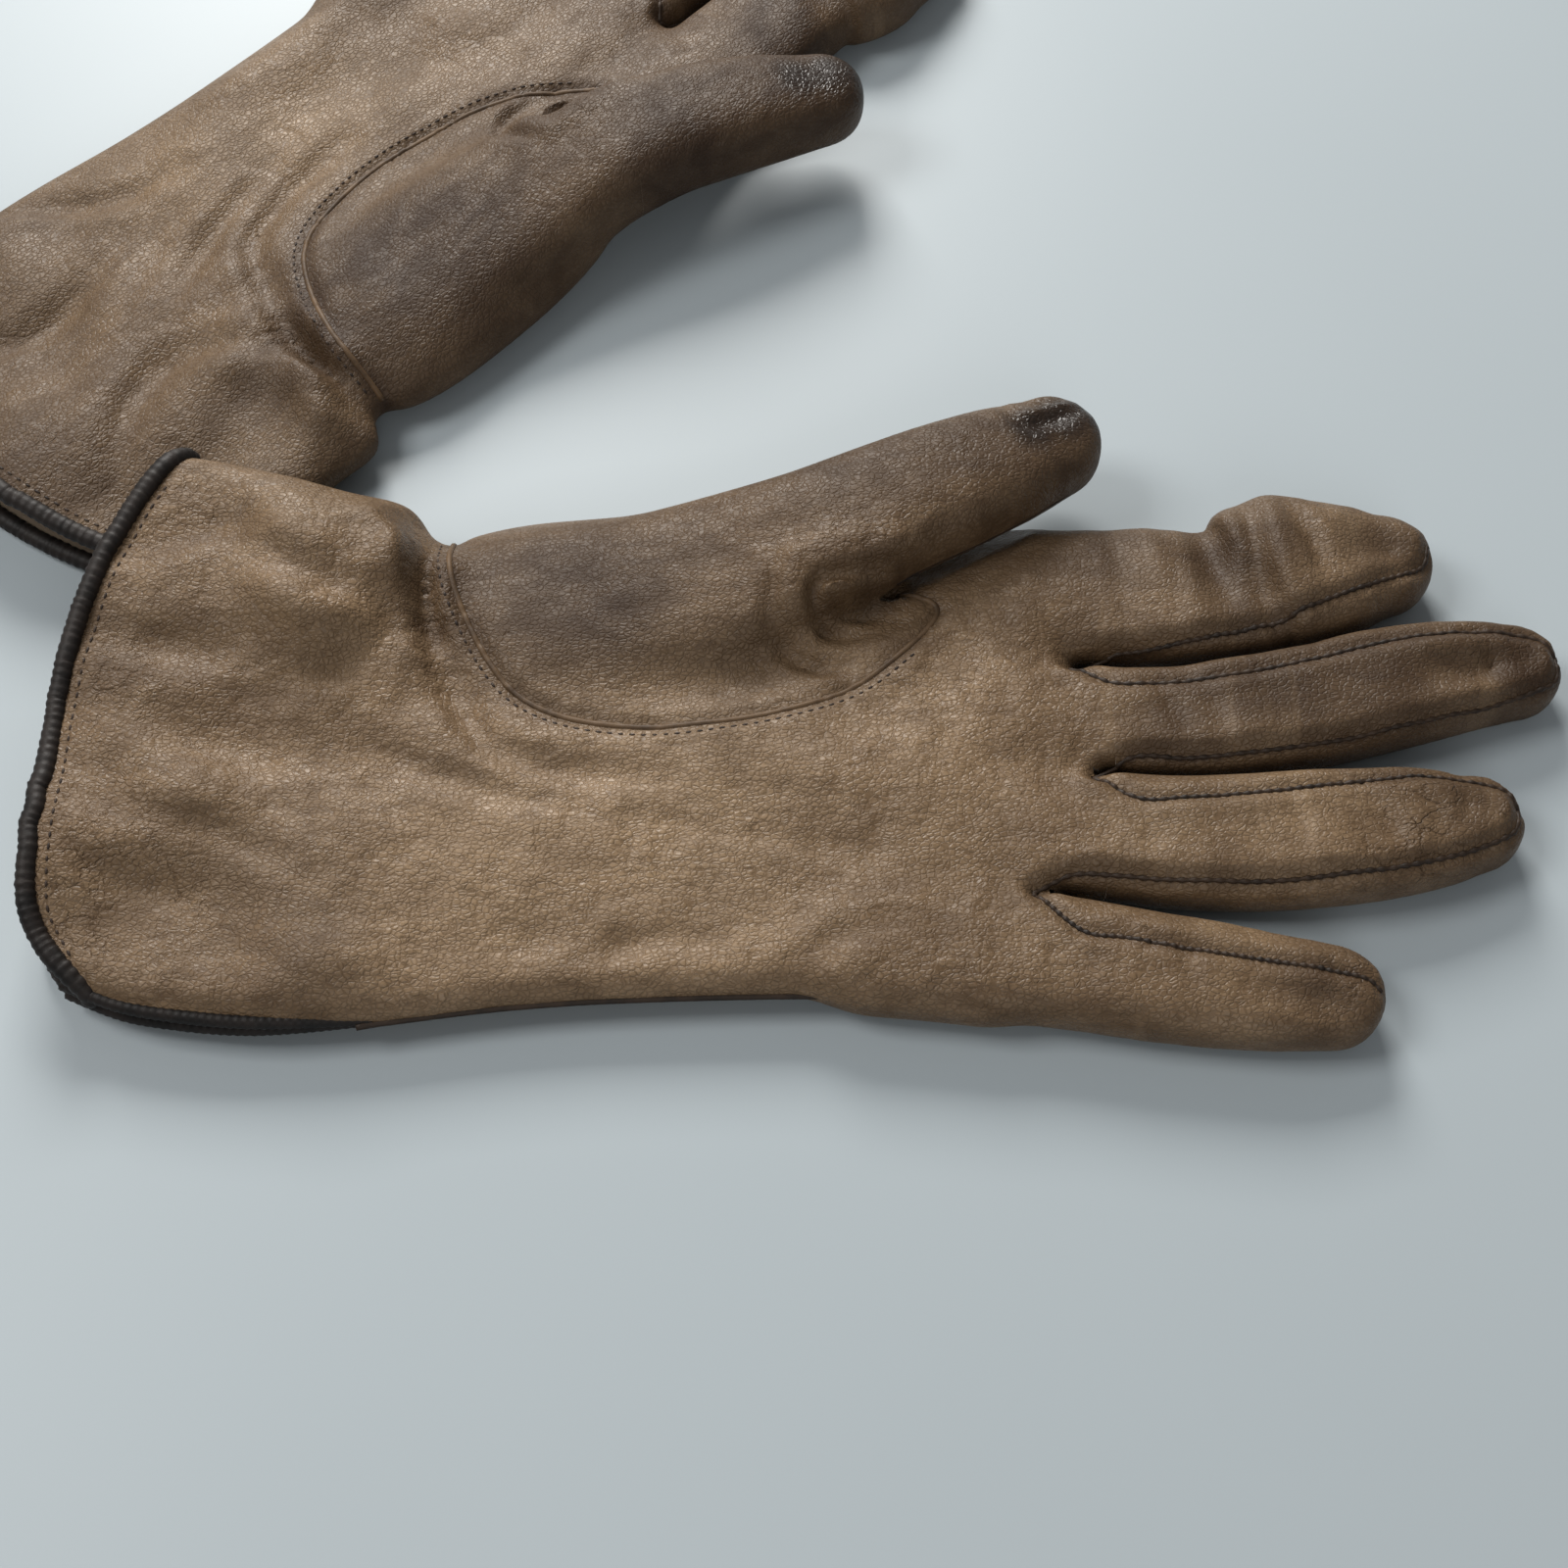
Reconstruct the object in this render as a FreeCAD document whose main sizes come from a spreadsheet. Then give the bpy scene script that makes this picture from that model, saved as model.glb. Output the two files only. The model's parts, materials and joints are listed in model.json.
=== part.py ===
"""A pair of leather gloves lying palm up on a table, one partly on the other, in millimetres.

Every piece is made once, for the left glove, in that glove's own frame: X runs from the wrist to
the fingertips, Y from the little finger to the thumb, and Z up out of the palm. The right glove is
the left one's mirror image in an upright plane. Only its cuff is made again, because the left cuff
is lifted where it lies on the right one.
"""
import FreeCAD, Part
import math
import os

import Sketcher
from FreeCAD import Placement, Rotation, Vector

LEATHER = {
    "leather": 1.0,            # thickness of the gloves' leather
    "binding": 0.8,            # thickness of the folded strip on the raw edges
    "binding_width": 3.5,      # how far the strip reaches over the leather
    "welt": 0.8,               # how far a raised seam stands out of the leather
    "seam_width": 0.8,
    "thread": 0.4,             # how far a row of stitches stands out
    "thread_width": 0.6,
    "stitch_inset": 1.6,       # from a binding or a welt to the row of stitches beside it
    "running_gap": 0.5,        # left free where one body turns against another
}
# A section across the hand: its place, its two edges, the rounding of each edge, and how far the
# left glove's thumb side is lifted off the table there.
SECTIONS = {
    "cuff_edge": {"place": -98.0, "ulnar": -35.0, "radial": 45.5,
                  "ulnar_round": 4.5, "radial_round": 2.5, "lift": 10.5},
    "cuff_flare": {"place": -70.0, "ulnar": -38.0, "radial": 42.5,
                   "ulnar_round": 4.5, "radial_round": 3.0, "lift": 9.5},
    "wrist": {"place": -46.0, "ulnar": -37.0, "radial": 36.5,
              "ulnar_round": 4.5, "radial_round": 3.5, "lift": 2.0},
    "palm": {"place": -10.0, "ulnar": -35.0, "radial": 38.0,
             "ulnar_round": 5.5, "radial_round": 4.0, "lift": 0.0},
    "knuckle": {"place": 47.0, "ulnar": -38.5, "radial": 38.5,
                "ulnar_round": 4.75, "radial_round": 4.75, "lift": 0.0},
}
# A finger: the middle of its open end, the way it points, and the size of its tube.
FINGERS = {
    "index": {"place": 41.5, "side": 27.5, "height": 0.0, "turn": 6.2,
              "long": 51.0, "wide": 20.5, "thick": 9.5, "tip_round": 8.0},
    "middle": {"place": 43.0, "side": 6.6, "height": 0.0, "turn": 9.0,
               "long": 66.0, "wide": 18.0, "thick": 9.5, "tip_round": 8.0},
    "ring": {"place": 41.5, "side": -11.6, "height": 0.0, "turn": 2.5,
             "long": 58.0, "wide": 17.6, "thick": 9.5, "tip_round": 8.0},
    "little": {"place": 33.5, "side": -29.4, "height": 0.0, "turn": -5.0,
               "long": 44.0, "wide": 16.8, "thick": 9.0, "tip_round": 7.2},
    "thumb": {"place": 8.0, "side": 33.0, "height": 10.0, "turn": 27.0,
              "long": 44.0, "wide": 18.5, "thick": 11.5, "tip_round": 7.6},
}
DETAILS = {
    "edge_round": 3.4,         # rounding along a finger
    "edge_share": 0.45,        # that rounding is at most this share of the finger's thickness
    "strip_inset": 4.5,        # from a finger's edge to the seam of its front or back strip
    "strip_tip": 4.0,          # width left to a strip at the fingertip
    "flattening": 0.05,        # how much the table flattens the back of each hand
    "room_spare": 5.0,         # how much wider than a finger its place in the hand is cut
    "seam_short": 3.0,         # the side seam ends this far before the little finger
    "welt_gap": 0.3,           # from the gusset to the welt round it
    "vent_end": -52.0,         # where the slit in the cuff ends
    "vent_gap": 1.2,
    "vent_reach": 3.2,         # how far the vent's binding reaches each way from the slit
    "gusset_place": -15.0,     # the oval where the thumb's leather is let into the palm
    "gusset_side": 19.0,
    "gusset_depth": 6.6,       # height of the gusset's lower rim, inside the palm
    "gusset_long": 48.0,
    "gusset_wide": 22.0,
    "gusset_turn": 12.0,
    "mirror_turn": 25.0,       # direction of the upright plane between the gloves
    "cuff_overlap": 16.3,      # how far the corner of each cuff lies past that plane
    "stand_x": 0.0,            # moves the pair so that the frame's origin is under its middle
    "stand_y": 0.0,
}
FAR = 300.0                    # longer than a glove: half-spaces are boxes of this size
OVER = 30.0                    # higher than a glove lies
CLEAR = 1.0                    # how far a cutting block starts and ends beyond what it cuts

doc = FreeCAD.newDocument("gloves")
sheet = doc.addObject("Spreadsheet::Sheet", "sizes")
nodes = []


def fill_sheet():
    """Write every driving size into the sheet, one row each: its name and its value."""
    values = {**LEATHER, **DETAILS}
    for table in (SECTIONS, FINGERS):
        for thing, its_sizes in table.items():
            values.update({f"{thing}_{name}": value for name, value in its_sizes.items()})
    for row, (name, value) in enumerate(values.items(), 1):
        sheet.set(f"A{row}", name)
        sheet.set(f"B{row}", str(value))
        sheet.setAlias(f"B{row}", name)
    doc.recompute()


def bind(thing, **expressions):
    """Bind an object's properties to expressions; a double underscore stands for a dot."""
    for name, expression in expressions.items():
        thing.setExpression(name.replace("__", "."), expression)
    return thing


def place_in(thing, finger):
    """Place an object in a finger's frame: at the middle of its open end, along the finger."""
    bind(thing, Placement__Base__x=f"sizes.{finger}_place",
         Placement__Base__y=f"sizes.{finger}_side",
         Placement__Base__z=f"sizes.{finger}_height",
         Placement__Rotation__Angle=f"sizes.{finger}_turn * 1 deg")
    return thing


def box(name, low, high):
    """Make a box from the expressions of its lowest and highest corners."""
    block = doc.addObject("Part::Box", name)
    for axis, side, start, end in zip("xyz", ("Length", "Width", "Height"), low, high):
        block.setExpression(f"Placement.Base.{axis}", f"{start}")
        block.setExpression(side, f"({end}) - ({start})")
    return block


def combine(kind, name, base, tool):
    """Join, cut or intersect two objects."""
    result = doc.addObject(f"Part::{kind}", name)
    result.Base = base
    result.Tool = tool
    return result


def cut(name, base, tool):
    """Take the tool away from the base."""
    return combine("Cut", name, base, tool)


def common(name, base, tool):
    """Keep what the base and the tool share."""
    return combine("Common", name, base, tool)


def fuse(name, base, tool):
    """Join the base and the tool."""
    return combine("Fuse", name, base, tool)


def slot_sketch(name, section, grow, lifted):
    """Draw the hand's section: two unlike arcs joined by the lines that touch them both."""
    its = SECTIONS[section]
    sketch = doc.addObject("Sketcher::SketchObject", name)
    sketch.Placement = Placement(Vector(its["place"], 0, 0), Rotation(Vector(1, 1, 1), 120))
    lift = its["lift"] if lifted else 0.0
    low = -DETAILS["flattening"]
    first = Vector(its["ulnar"] + its["ulnar_round"], its["ulnar_round"] + low, 0)
    second = Vector(its["radial"] - its["radial_round"], its["radial_round"] + lift + low, 0)
    radii = (its["ulnar_round"], its["radial_round"])
    across = second - first
    heading = math.atan2(across.y, across.x)
    spread = math.acos((radii[0] - radii[1]) / across.Length)
    up, down = heading + spread, heading - spread

    def on(centre, radius, angle):
        return centre + Vector(radius * math.cos(angle), radius * math.sin(angle), 0)

    circles = [Part.Circle(centre, Vector(0, 0, 1), radius)
               for centre, radius in zip((first, second), radii)]
    sketch.addGeometry([
        Part.ArcOfCircle(circles[0], up, down + 2 * math.pi),
        Part.ArcOfCircle(circles[1], down, up),
        Part.LineSegment(on(second, radii[1], up), on(first, radii[0], up)),
        Part.LineSegment(on(first, radii[0], down), on(second, radii[1], down)),
    ])
    rule = Sketcher.Constraint
    sketch.addConstraint([
        rule("Tangent", 0, 1, 2, 2), rule("Tangent", 0, 2, 3, 1),
        rule("Tangent", 1, 1, 3, 2), rule("Tangent", 1, 2, 2, 1),
        rule("DistanceX", -1, 1, 0, 3, first.x), rule("DistanceY", -1, 1, 0, 3, first.y),
        rule("Radius", 0, radii[0]),
        rule("DistanceX", -1, 1, 1, 3, second.x), rule("DistanceY", -1, 1, 1, 3, second.y),
        rule("Radius", 1, radii[1]),
    ])
    driven = {
        "ulnar_y": f"sizes.{section}_ulnar + sizes.{section}_ulnar_round",
        "ulnar_z": f"sizes.{section}_ulnar_round - sizes.flattening",
        "ulnar_radius": f"sizes.{section}_ulnar_round + {grow}",
        "radial_y": f"sizes.{section}_radial - sizes.{section}_radial_round",
        "radial_z": (f"sizes.{section}_radial_round - sizes.flattening"
                     + (f" + sizes.{section}_lift" if lifted else "")),
        "radial_radius": f"sizes.{section}_radial_round + {grow}",
    }
    first_driven = 4
    for number, (name_of, expression) in enumerate(driven.items(), first_driven):
        sketch.renameConstraint(number, name_of)
        sketch.setExpression(f"Constraints.{name_of}", expression)
    start = " - sizes.binding" if section == "cuff_edge" else ""
    sketch.setExpression("Placement.Base.x", f"sizes.{section}_place{start}")
    return sketch


def hand_loft(name, grow, lifted):
    """Loft the hand from cuff to knuckles, with its surface moved out by an expression."""
    loft = doc.addObject("Part::Loft", name)
    loft.Sections = [slot_sketch(f"{name}_{section}", section, grow, lifted)
                     for section in SECTIONS]
    loft.Solid = True
    loft.Ruled = True
    return loft


def finger_blank(name, finger, grow="0"):
    """Pad a finger's outline, a taper that ends in an arc, and round its long edges."""
    its = FINGERS[finger]
    body = doc.addObject("PartDesign::Body", name)
    sketch = body.newObject("Sketcher::SketchObject", f"{name}_outline")
    plane = [item for item in body.Origin.OriginFeatures if item.Role == "XY_Plane"][0]
    sketch.AttachmentSupport = [(plane, "")]
    sketch.MapMode = "FlatFace"
    half, tip = its["wide"] / 2, its["tip_round"]
    centre = Vector(its["long"] - tip, 0, 0)
    slope = math.asin(tip / math.hypot(centre.x, half)) - math.atan2(half, centre.x)
    touch = centre + Vector(-tip * math.sin(slope), tip * math.cos(slope), 0)
    end = math.atan2(touch.y, touch.x - centre.x)
    sketch.addGeometry([
        Part.LineSegment(Vector(0, half, 0), touch),
        Part.ArcOfCircle(Part.Circle(centre, Vector(0, 0, 1), tip), -end, end),
        Part.LineSegment(Vector(touch.x, -touch.y, 0), Vector(0, -half, 0)),
        Part.LineSegment(Vector(0, -half, 0), Vector(0, half, 0)),
    ])
    rule = Sketcher.Constraint
    sketch.addConstraint([
        rule("Tangent", 0, 2, 1, 2), rule("Tangent", 1, 1, 2, 1),
        rule("Coincident", 2, 2, 3, 1), rule("Coincident", 3, 2, 0, 1),
        rule("PointOnObject", 1, 3, -1), rule("Symmetric", 3, 1, 3, 2, -1, 1), rule("Vertical", 3),
        rule("Radius", 1, tip), rule("DistanceX", -1, 1, 1, 3, centre.x),
        rule("DistanceY", 3, 1, 3, 2, 2 * half),
    ])
    driven = {
        "tip_radius": f"sizes.{finger}_tip_round + {grow}",
        "tip_centre": f"sizes.{finger}_long - sizes.{finger}_tip_round",
        "open_end": f"sizes.{finger}_wide + 2 * ({grow})",
    }
    first_driven = 7
    for number, (name_of, expression) in enumerate(driven.items(), first_driven):
        sketch.renameConstraint(number, name_of)
        sketch.setExpression(f"Constraints.{name_of}", expression)
    pad = body.newObject("PartDesign::Pad", f"{name}_pad")
    pad.Profile = sketch
    pad.setExpression("Length", f"sizes.{finger}_thick")
    doc.recompute()
    long_edges = [f"Edge{number}" for number, edge in enumerate(pad.Shape.Edges, 1)
                  if edge.BoundBox.ZLength < 1e-6 and edge.BoundBox.XMax > 1.0]
    rounding = body.newObject("PartDesign::Fillet", f"{name}_round")
    rounding.Base = (pad, long_edges)
    rounding.setExpression("Radius", f"min(sizes.edge_round; sizes.{finger}_thick * sizes.edge_share)")
    doc.recompute()
    return body


def finger_shell(name, finger):
    """Hollow a finger's blank from its open end to the leather's thickness."""
    body = finger_blank(name, finger)
    rounding = body.Tip
    open_end = [f"Face{number}" for number, face in enumerate(rounding.Shape.Faces, 1)
                if face.BoundBox.XMax < 1e-6]
    hollow = body.newObject("PartDesign::Thickness", f"{name}_hollow")
    hollow.Base = (rounding, open_end)
    hollow.setExpression("Value", "sizes.leather")
    hollow.Reversed = True
    hollow.Join = 1
    doc.recompute()
    return body


def strip_core(name, finger, low, high):
    """Make the tapered block that holds a finger's front or back strip between its seams."""
    core = doc.addObject("Part::Wedge", name)
    core.Placement = Placement(Vector(0, 0, 0), Rotation(Vector(0, 0, 1), -90))
    half = f"(sizes.{finger}_wide / 2 - sizes.strip_inset)"
    bind(core, Ymin=f"-{CLEAR}", Ymax=f"sizes.{finger}_long + {CLEAR}", Xmin=f"-{half}", Xmax=half,
         X2min="-sizes.strip_tip / 2", X2max="sizes.strip_tip / 2",
         Zmin=low, Zmax=high, Z2min=low, Z2max=high)
    return core


def seam_along(name, finger):
    """Make the raised seam that runs along a finger's ulnar side and round its tip."""
    grown = finger_blank(f"{name}_grown", finger, "sizes.welt")
    skin = cut(f"{name}_skin", grown, finger_blank(f"{name}_blank", finger))
    middle = f"sizes.{finger}_thick / 2"
    slab = box(f"{name}_slab",
               ("sizes.welt", f"-sizes.{finger}_wide", f"{middle} - sizes.seam_width / 2"),
               (f"sizes.{finger}_long + {OVER}", "0", f"{middle} + sizes.seam_width / 2"))
    return common(name, skin, slab)


def hand_in(name, piece, finger=None):
    """Name a finished piece as a sub-part and move it to where it lies in the pair."""
    piece.Label = f"left_{name}"
    if finger:
        place_in(piece, finger)
        piece.setExpression("Placement.Base.x", f"sizes.{finger}_place + sizes.stand_x")
        piece.setExpression("Placement.Base.y", f"sizes.{finger}_side + sizes.stand_y")
    else:
        bind(piece, Placement__Base__x="sizes.stand_x", Placement__Base__y="sizes.stand_y")
    nodes.append(piece)
    return piece


def mirror(name, source):
    """Name the mirror image of a left piece as the right glove's sub-part."""
    copy = doc.addObject("Part::Mirroring", f"right_{name}")
    copy.Source = source
    turn = "sizes.mirror_turn * 1 deg"
    away = (f"(sizes.cuff_edge_radial * cos({turn}) - sizes.cuff_edge_place * sin({turn})"
            " - sizes.cuff_overlap)")
    bind(copy, Normal__x=f"-sin({turn})", Normal__y=f"cos({turn})", Normal__z="0",
         Base__x=f"sizes.stand_x - {away} * sin({turn})",
         Base__y=f"sizes.stand_y + {away} * cos({turn})")
    copy.Label = f"right_{name}"
    nodes.append(copy)
    return copy


def make_fingers():
    """Make the finger pieces: strips of the hand's leather and the side strips between them."""
    for finger in ("index", "middle", "ring", "little"):
        shell = finger_shell(f"{finger}_tube", finger)
        middle = f"sizes.{finger}_thick / 2"
        top = f"sizes.{finger}_thick + {CLEAR}"
        below = f"-{CLEAR}"
        core = strip_core(f"{finger}_core", finger, below, top)
        sides = cut(f"{finger}_sides", shell, core)
        reach = f"sizes.{finger}_long + {CLEAR}"
        halves = {"radial": ("0", f"{FAR}"), "ulnar": (f"-{FAR}", "0")}
        side_names = {"index": ["ulnar"], "little": ["radial"]}.get(finger, ["radial", "ulnar"])
        strips = shell
        for side in side_names:
            low, high = halves[side]
            half_space = box(f"{finger}_{side}_half", (below, low, below), (reach, high, top))
            one_side = common(f"{finger}_{side}_side", sides, half_space)
            strips = cut(f"{finger}_less_{side}", strips, one_side)
            fourchette = common(f"{finger}_{side}_piece", one_side, half_space)
            hand_in(f"{finger}_{side}_fourchette", fourchette, finger)
        if finger == "index":
            hand_in("index_wrap", strips, finger)
            continue
        for label, low, high in (("palm", middle, top), ("back", below, middle)):
            slab = box(f"{finger}_{label}_slab", (below, f"-{FAR}", low), (reach, f"{FAR}", high))
            hand_in(f"{finger}_{label}_strip", common(f"{finger}_{label}", strips, slab), finger)
    hand_in("little_outer_seam", seam_along("little_seam", "little"), "little")


def make_thumb():
    """Make the thumb's tube and the seam along its inner side."""
    hand_in("thumb", cut("thumb_piece", finger_shell("thumb_tube", "thumb"),
                         box("thumb_mouth", (f"-{CLEAR}", f"-{FAR}", f"-{CLEAR}"),
                             ("0", f"{FAR}", f"{OVER}"))), "thumb")
    hand_in("thumb_seam", seam_along("thumb_inner_seam", "thumb"), "thumb")


def gusset_loft(name, inset):
    """Loft the thumb's base from the oval in the palm up to the thumb's open end."""
    oval = doc.addObject("Part::Ellipse", f"{name}_oval")
    bind(oval, MajorRadius=f"sizes.gusset_long / 2 - {inset}",
         MinorRadius=f"sizes.gusset_wide / 2 - {inset}",
         Placement__Base__x="sizes.gusset_place", Placement__Base__y="sizes.gusset_side",
         Placement__Base__z="sizes.gusset_depth",
         Placement__Rotation__Angle="sizes.gusset_turn * 1 deg")
    mouth = doc.addObject("Part::Ellipse", f"{name}_mouth")
    turn = FINGERS["thumb"]["turn"]
    mouth.Placement = Placement(Vector(0, 0, 0), Rotation(Vector(0, 0, 1), turn)
                                * Rotation(Vector(1, 1, 1), 120))
    bind(mouth, MajorRadius=f"sizes.thumb_wide / 2 - {inset}",
         MinorRadius=f"sizes.thumb_thick / 2 - {inset}",
         Placement__Base__x="sizes.thumb_place - sizes.running_gap",
         Placement__Base__y="sizes.thumb_side",
         Placement__Base__z="sizes.thumb_height + sizes.thumb_thick / 2")
    loft = doc.addObject("Part::Loft", name)
    loft.Sections = [oval, mouth]
    loft.Solid = True
    loft.Ruled = True
    return loft


def oval_band(name, start, width):
    """Make an upright oval ring round the thumb's opening, starting outside its edge."""
    rings = []
    for edge, out in (("inner", start), ("outer", f"{start} + {width}")):
        oval = doc.addObject("Part::Ellipse", f"{name}_{edge}_oval")
        bind(oval, MajorRadius=f"sizes.gusset_long / 2 + {out}",
             MinorRadius=f"sizes.gusset_wide / 2 + {out}",
             Placement__Base__x="sizes.gusset_place", Placement__Base__y="sizes.gusset_side",
             Placement__Base__z="sizes.gusset_depth",
             Placement__Rotation__Angle="sizes.gusset_turn * 1 deg")
        prism = doc.addObject("Part::Extrusion", f"{name}_{edge}")
        prism.Base = oval
        prism.DirMode = "Custom"
        prism.Dir = Vector(0, 0, 1)
        prism.LengthFwd = OVER
        prism.Solid = True
        rings.append(prism)
    return cut(name, rings[1], rings[0])


def make_hand(prefix, lifted):
    """Make the hand's pieces in the left glove's frame and return them by name."""
    def named(part):
        return f"{prefix}_{part}"

    outer = hand_loft(named("outer"), "0", lifted)
    inner = hand_loft(named("inner"), "(-sizes.leather)", lifted)
    grown = hand_loft(named("grown"), "sizes.binding", lifted)
    shrunk = hand_loft(named("shrunk"), "(-sizes.leather - sizes.binding)", lifted)
    threaded = hand_loft(named("threaded"), "sizes.thread", lifted)
    gusset = gusset_loft(named("gusset_outer"), "0")

    edge = "sizes.cuff_edge_place"
    seam_height = "sizes.wrist_ulnar_round"
    ulnar_side = "sizes.wrist_ulnar + sizes.wrist_ulnar_round"
    shell = cut(named("shell"), outer, inner)
    span = box(named("span"), (edge, f"-{FAR}", "0"), (f"{FAR}", f"{FAR}", f"{OVER}"))
    body = common(named("body"), shell, span)
    vent = box(named("vent"), (f"{edge} - 2 * sizes.binding", f"-{FAR}",
                               f"{seam_height} - sizes.vent_gap / 2"),
               ("sizes.vent_end", ulnar_side, f"{seam_height} + sizes.vent_gap / 2"))
    seam_slab = box(named("seam_slab"), ("sizes.vent_end + sizes.binding_width", f"-{FAR}",
                                         f"{seam_height} - sizes.seam_width / 2"),
                    ("sizes.little_place - sizes.seam_short", ulnar_side,
                     f"{seam_height} + sizes.seam_width / 2"))
    for number, tool in enumerate((vent, seam_slab, gusset)):
        body = cut(named(f"body_{number}"), body, tool)
    for finger in ("index", "middle", "ring", "little"):
        block = doc.addObject("Part::Box", named(f"{finger}_room"))
        width = f"(sizes.{finger}_wide + sizes.room_spare)"
        bind(block, Length=f"{FAR}", Width=width, Height=f"{OVER}")
        place_in(block, finger)
        angle = f"sizes.{finger}_turn * 1 deg"
        half, back = f"{width} / 2", "sizes.running_gap"
        block.setExpression("Placement.Base.x",
                            f"sizes.{finger}_place + {half} * sin({angle}) - {back} * cos({angle})")
        block.setExpression("Placement.Base.y",
                            f"sizes.{finger}_side - {half} * cos({angle}) - {back} * sin({angle})")
        body = cut(named(f"body_{finger}"), body, block)

    wrapped = cut(named("wrapped"), grown, shrunk)
    cuff_slab = box(named("cuff_slab"), (f"{edge} - sizes.binding", f"-{FAR}", "0"),
                    (f"{edge} + sizes.binding_width", f"{FAR}", f"{OVER}"))
    vent_slab = box(named("vent_slab"), (edge, f"-{FAR}", f"{seam_height} - sizes.vent_reach"),
                    ("sizes.vent_end + sizes.binding_width", f"{ulnar_side} - {CLEAR}",
                     f"{seam_height} + sizes.vent_reach"))
    strip = common(named("strip"), wrapped, fuse(named("slabs"), cuff_slab, vent_slab))
    strip = cut(named("strip_open"), strip, vent)
    binding = cut(named("binding"), strip, body)

    proud = cut(named("proud"), grown, outer)
    stitched = cut(named("stitched"), threaded, outer)
    seam = common(named("seam"), cut(named("seam_skin"), grown, inner), seam_slab)
    row = f"{edge} + sizes.binding_width + sizes.stitch_inset"
    row_slab = box(named("row_slab"), (row, f"{ulnar_side}", "sizes.leather"),
                   (f"{row} + sizes.thread_width", f"{FAR}", f"{OVER}"))
    welt = common(named("welt"), proud, oval_band(named("welt_band"), "sizes.welt_gap", "sizes.seam_width"))
    thumb_row = common(named("thumb_row"), stitched,
                       oval_band(named("thread_band"),
                                 "sizes.welt_gap + sizes.seam_width + sizes.stitch_inset",
                                 "sizes.thread_width"))
    return {
        "hand": common(named("trank"), body, span),
        "cuff_binding": binding,
        "side_seam": seam,
        "cuff_stitching": common(named("cuff_row"), stitched, row_slab),
        "thumb_gusset": cut(named("gusset"), gusset,
                            gusset_loft(named("gusset_inner"), "sizes.leather")),
        "thumb_welt": cut(named("welt_clear"), welt, gusset),
        "thumb_stitching": cut(named("row_clear"), thumb_row, gusset),
    }


def stand_on_origin():
    """Bring the middle of the pair's box over the frame's origin."""
    whole = FreeCAD.BoundBox()
    for node in nodes:
        whole.add(node.Shape.optimalBoundingBox(False))
    for alias, middle in (("stand_x", whole.Center.x), ("stand_y", whole.Center.y)):
        sheet.set(sheet.getCellFromAlias(alias), str(round(-middle, 3)))
    doc.recompute()


def check_model():
    """Stop if any object failed, or any sub-part is empty or not valid."""
    for thing in doc.Objects:
        if {"Invalid", "Error"} & set(thing.State):
            raise RuntimeError(f"{thing.Name} failed: {thing.State}")
    for node in nodes:
        if node.Shape.isNull() or not node.Shape.isValid() or not node.Shape.Solids:
            raise RuntimeError(f"{node.Label} has no valid solid")


fill_sheet()
make_fingers()
make_thumb()
left_only = make_hand("left", True)
right_only = make_hand("plain", False)
for part_name, piece in left_only.items():
    hand_in(part_name, piece)
left_fingers = [node for node in nodes if node.Label[5:] not in left_only]
for part_name, piece in right_only.items():
    bind(piece, Placement__Base__x="sizes.stand_x", Placement__Base__y="sizes.stand_y")
    mirror(part_name, piece)
for piece in left_fingers:
    mirror(piece.Label[5:], piece)
doc.recompute()
stand_on_origin()
check_model()
os.makedirs("parts", exist_ok=True)
for node in nodes:
    node.Shape.exportStep(f"parts/{node.Label}.step")
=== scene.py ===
"""The looks of a pair of soft leather gloves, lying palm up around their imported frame.

Each glove is worked out in its own frame, in millimetres: X from the wrist to the fingertips, Y from
the little finger to the thumb and Z up out of the palm. Its leather is one smooth field, made of a
pillow for the hand and a tube for each finger, which is meshed once for the hand and once for each
finger, and cut where the frame's joints are.
"""
import json
import logging
import math
from dataclasses import dataclass, field
from enum import Enum

import bmesh
import bpy
import numpy as np
from mathutils import Matrix, Vector
from mathutils.bvhtree import BVHTree


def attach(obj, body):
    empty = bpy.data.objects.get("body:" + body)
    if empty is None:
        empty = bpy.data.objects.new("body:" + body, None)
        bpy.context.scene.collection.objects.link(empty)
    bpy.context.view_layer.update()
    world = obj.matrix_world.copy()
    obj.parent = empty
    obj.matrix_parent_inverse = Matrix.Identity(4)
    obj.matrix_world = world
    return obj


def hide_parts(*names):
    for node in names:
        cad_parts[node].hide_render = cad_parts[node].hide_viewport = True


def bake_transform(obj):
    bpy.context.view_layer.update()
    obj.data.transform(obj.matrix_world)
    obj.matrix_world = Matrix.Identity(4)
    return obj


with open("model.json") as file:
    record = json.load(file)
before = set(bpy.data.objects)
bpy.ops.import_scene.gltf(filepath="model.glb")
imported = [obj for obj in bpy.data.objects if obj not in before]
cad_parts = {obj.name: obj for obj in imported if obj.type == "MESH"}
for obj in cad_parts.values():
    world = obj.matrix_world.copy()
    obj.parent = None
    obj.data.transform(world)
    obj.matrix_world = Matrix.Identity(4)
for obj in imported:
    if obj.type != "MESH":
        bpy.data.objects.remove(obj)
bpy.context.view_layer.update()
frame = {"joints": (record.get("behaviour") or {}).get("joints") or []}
LOG = logging.getLogger("gloves")
MM = 0.001
STEP = 0.8                 # spacing of the leather's mesh, mm
WALL = 0.8                 # thickness of the leather's wall, mm
BLEND_REACH = 20.0         # a length past a finger's joint, mm; nothing bends over it
SEAM_ROUND = 0.34          # half thickness of a finger's rolled seam, mm
WELT_ROUND = 0.46          # and of the roll round the thumb's oval
SIDE_SEAM_ROUND = 0.5      # and of the hand's side seam
SIDE_SEAM_HEIGHT = 4.8     # its height above the table, mm
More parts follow.
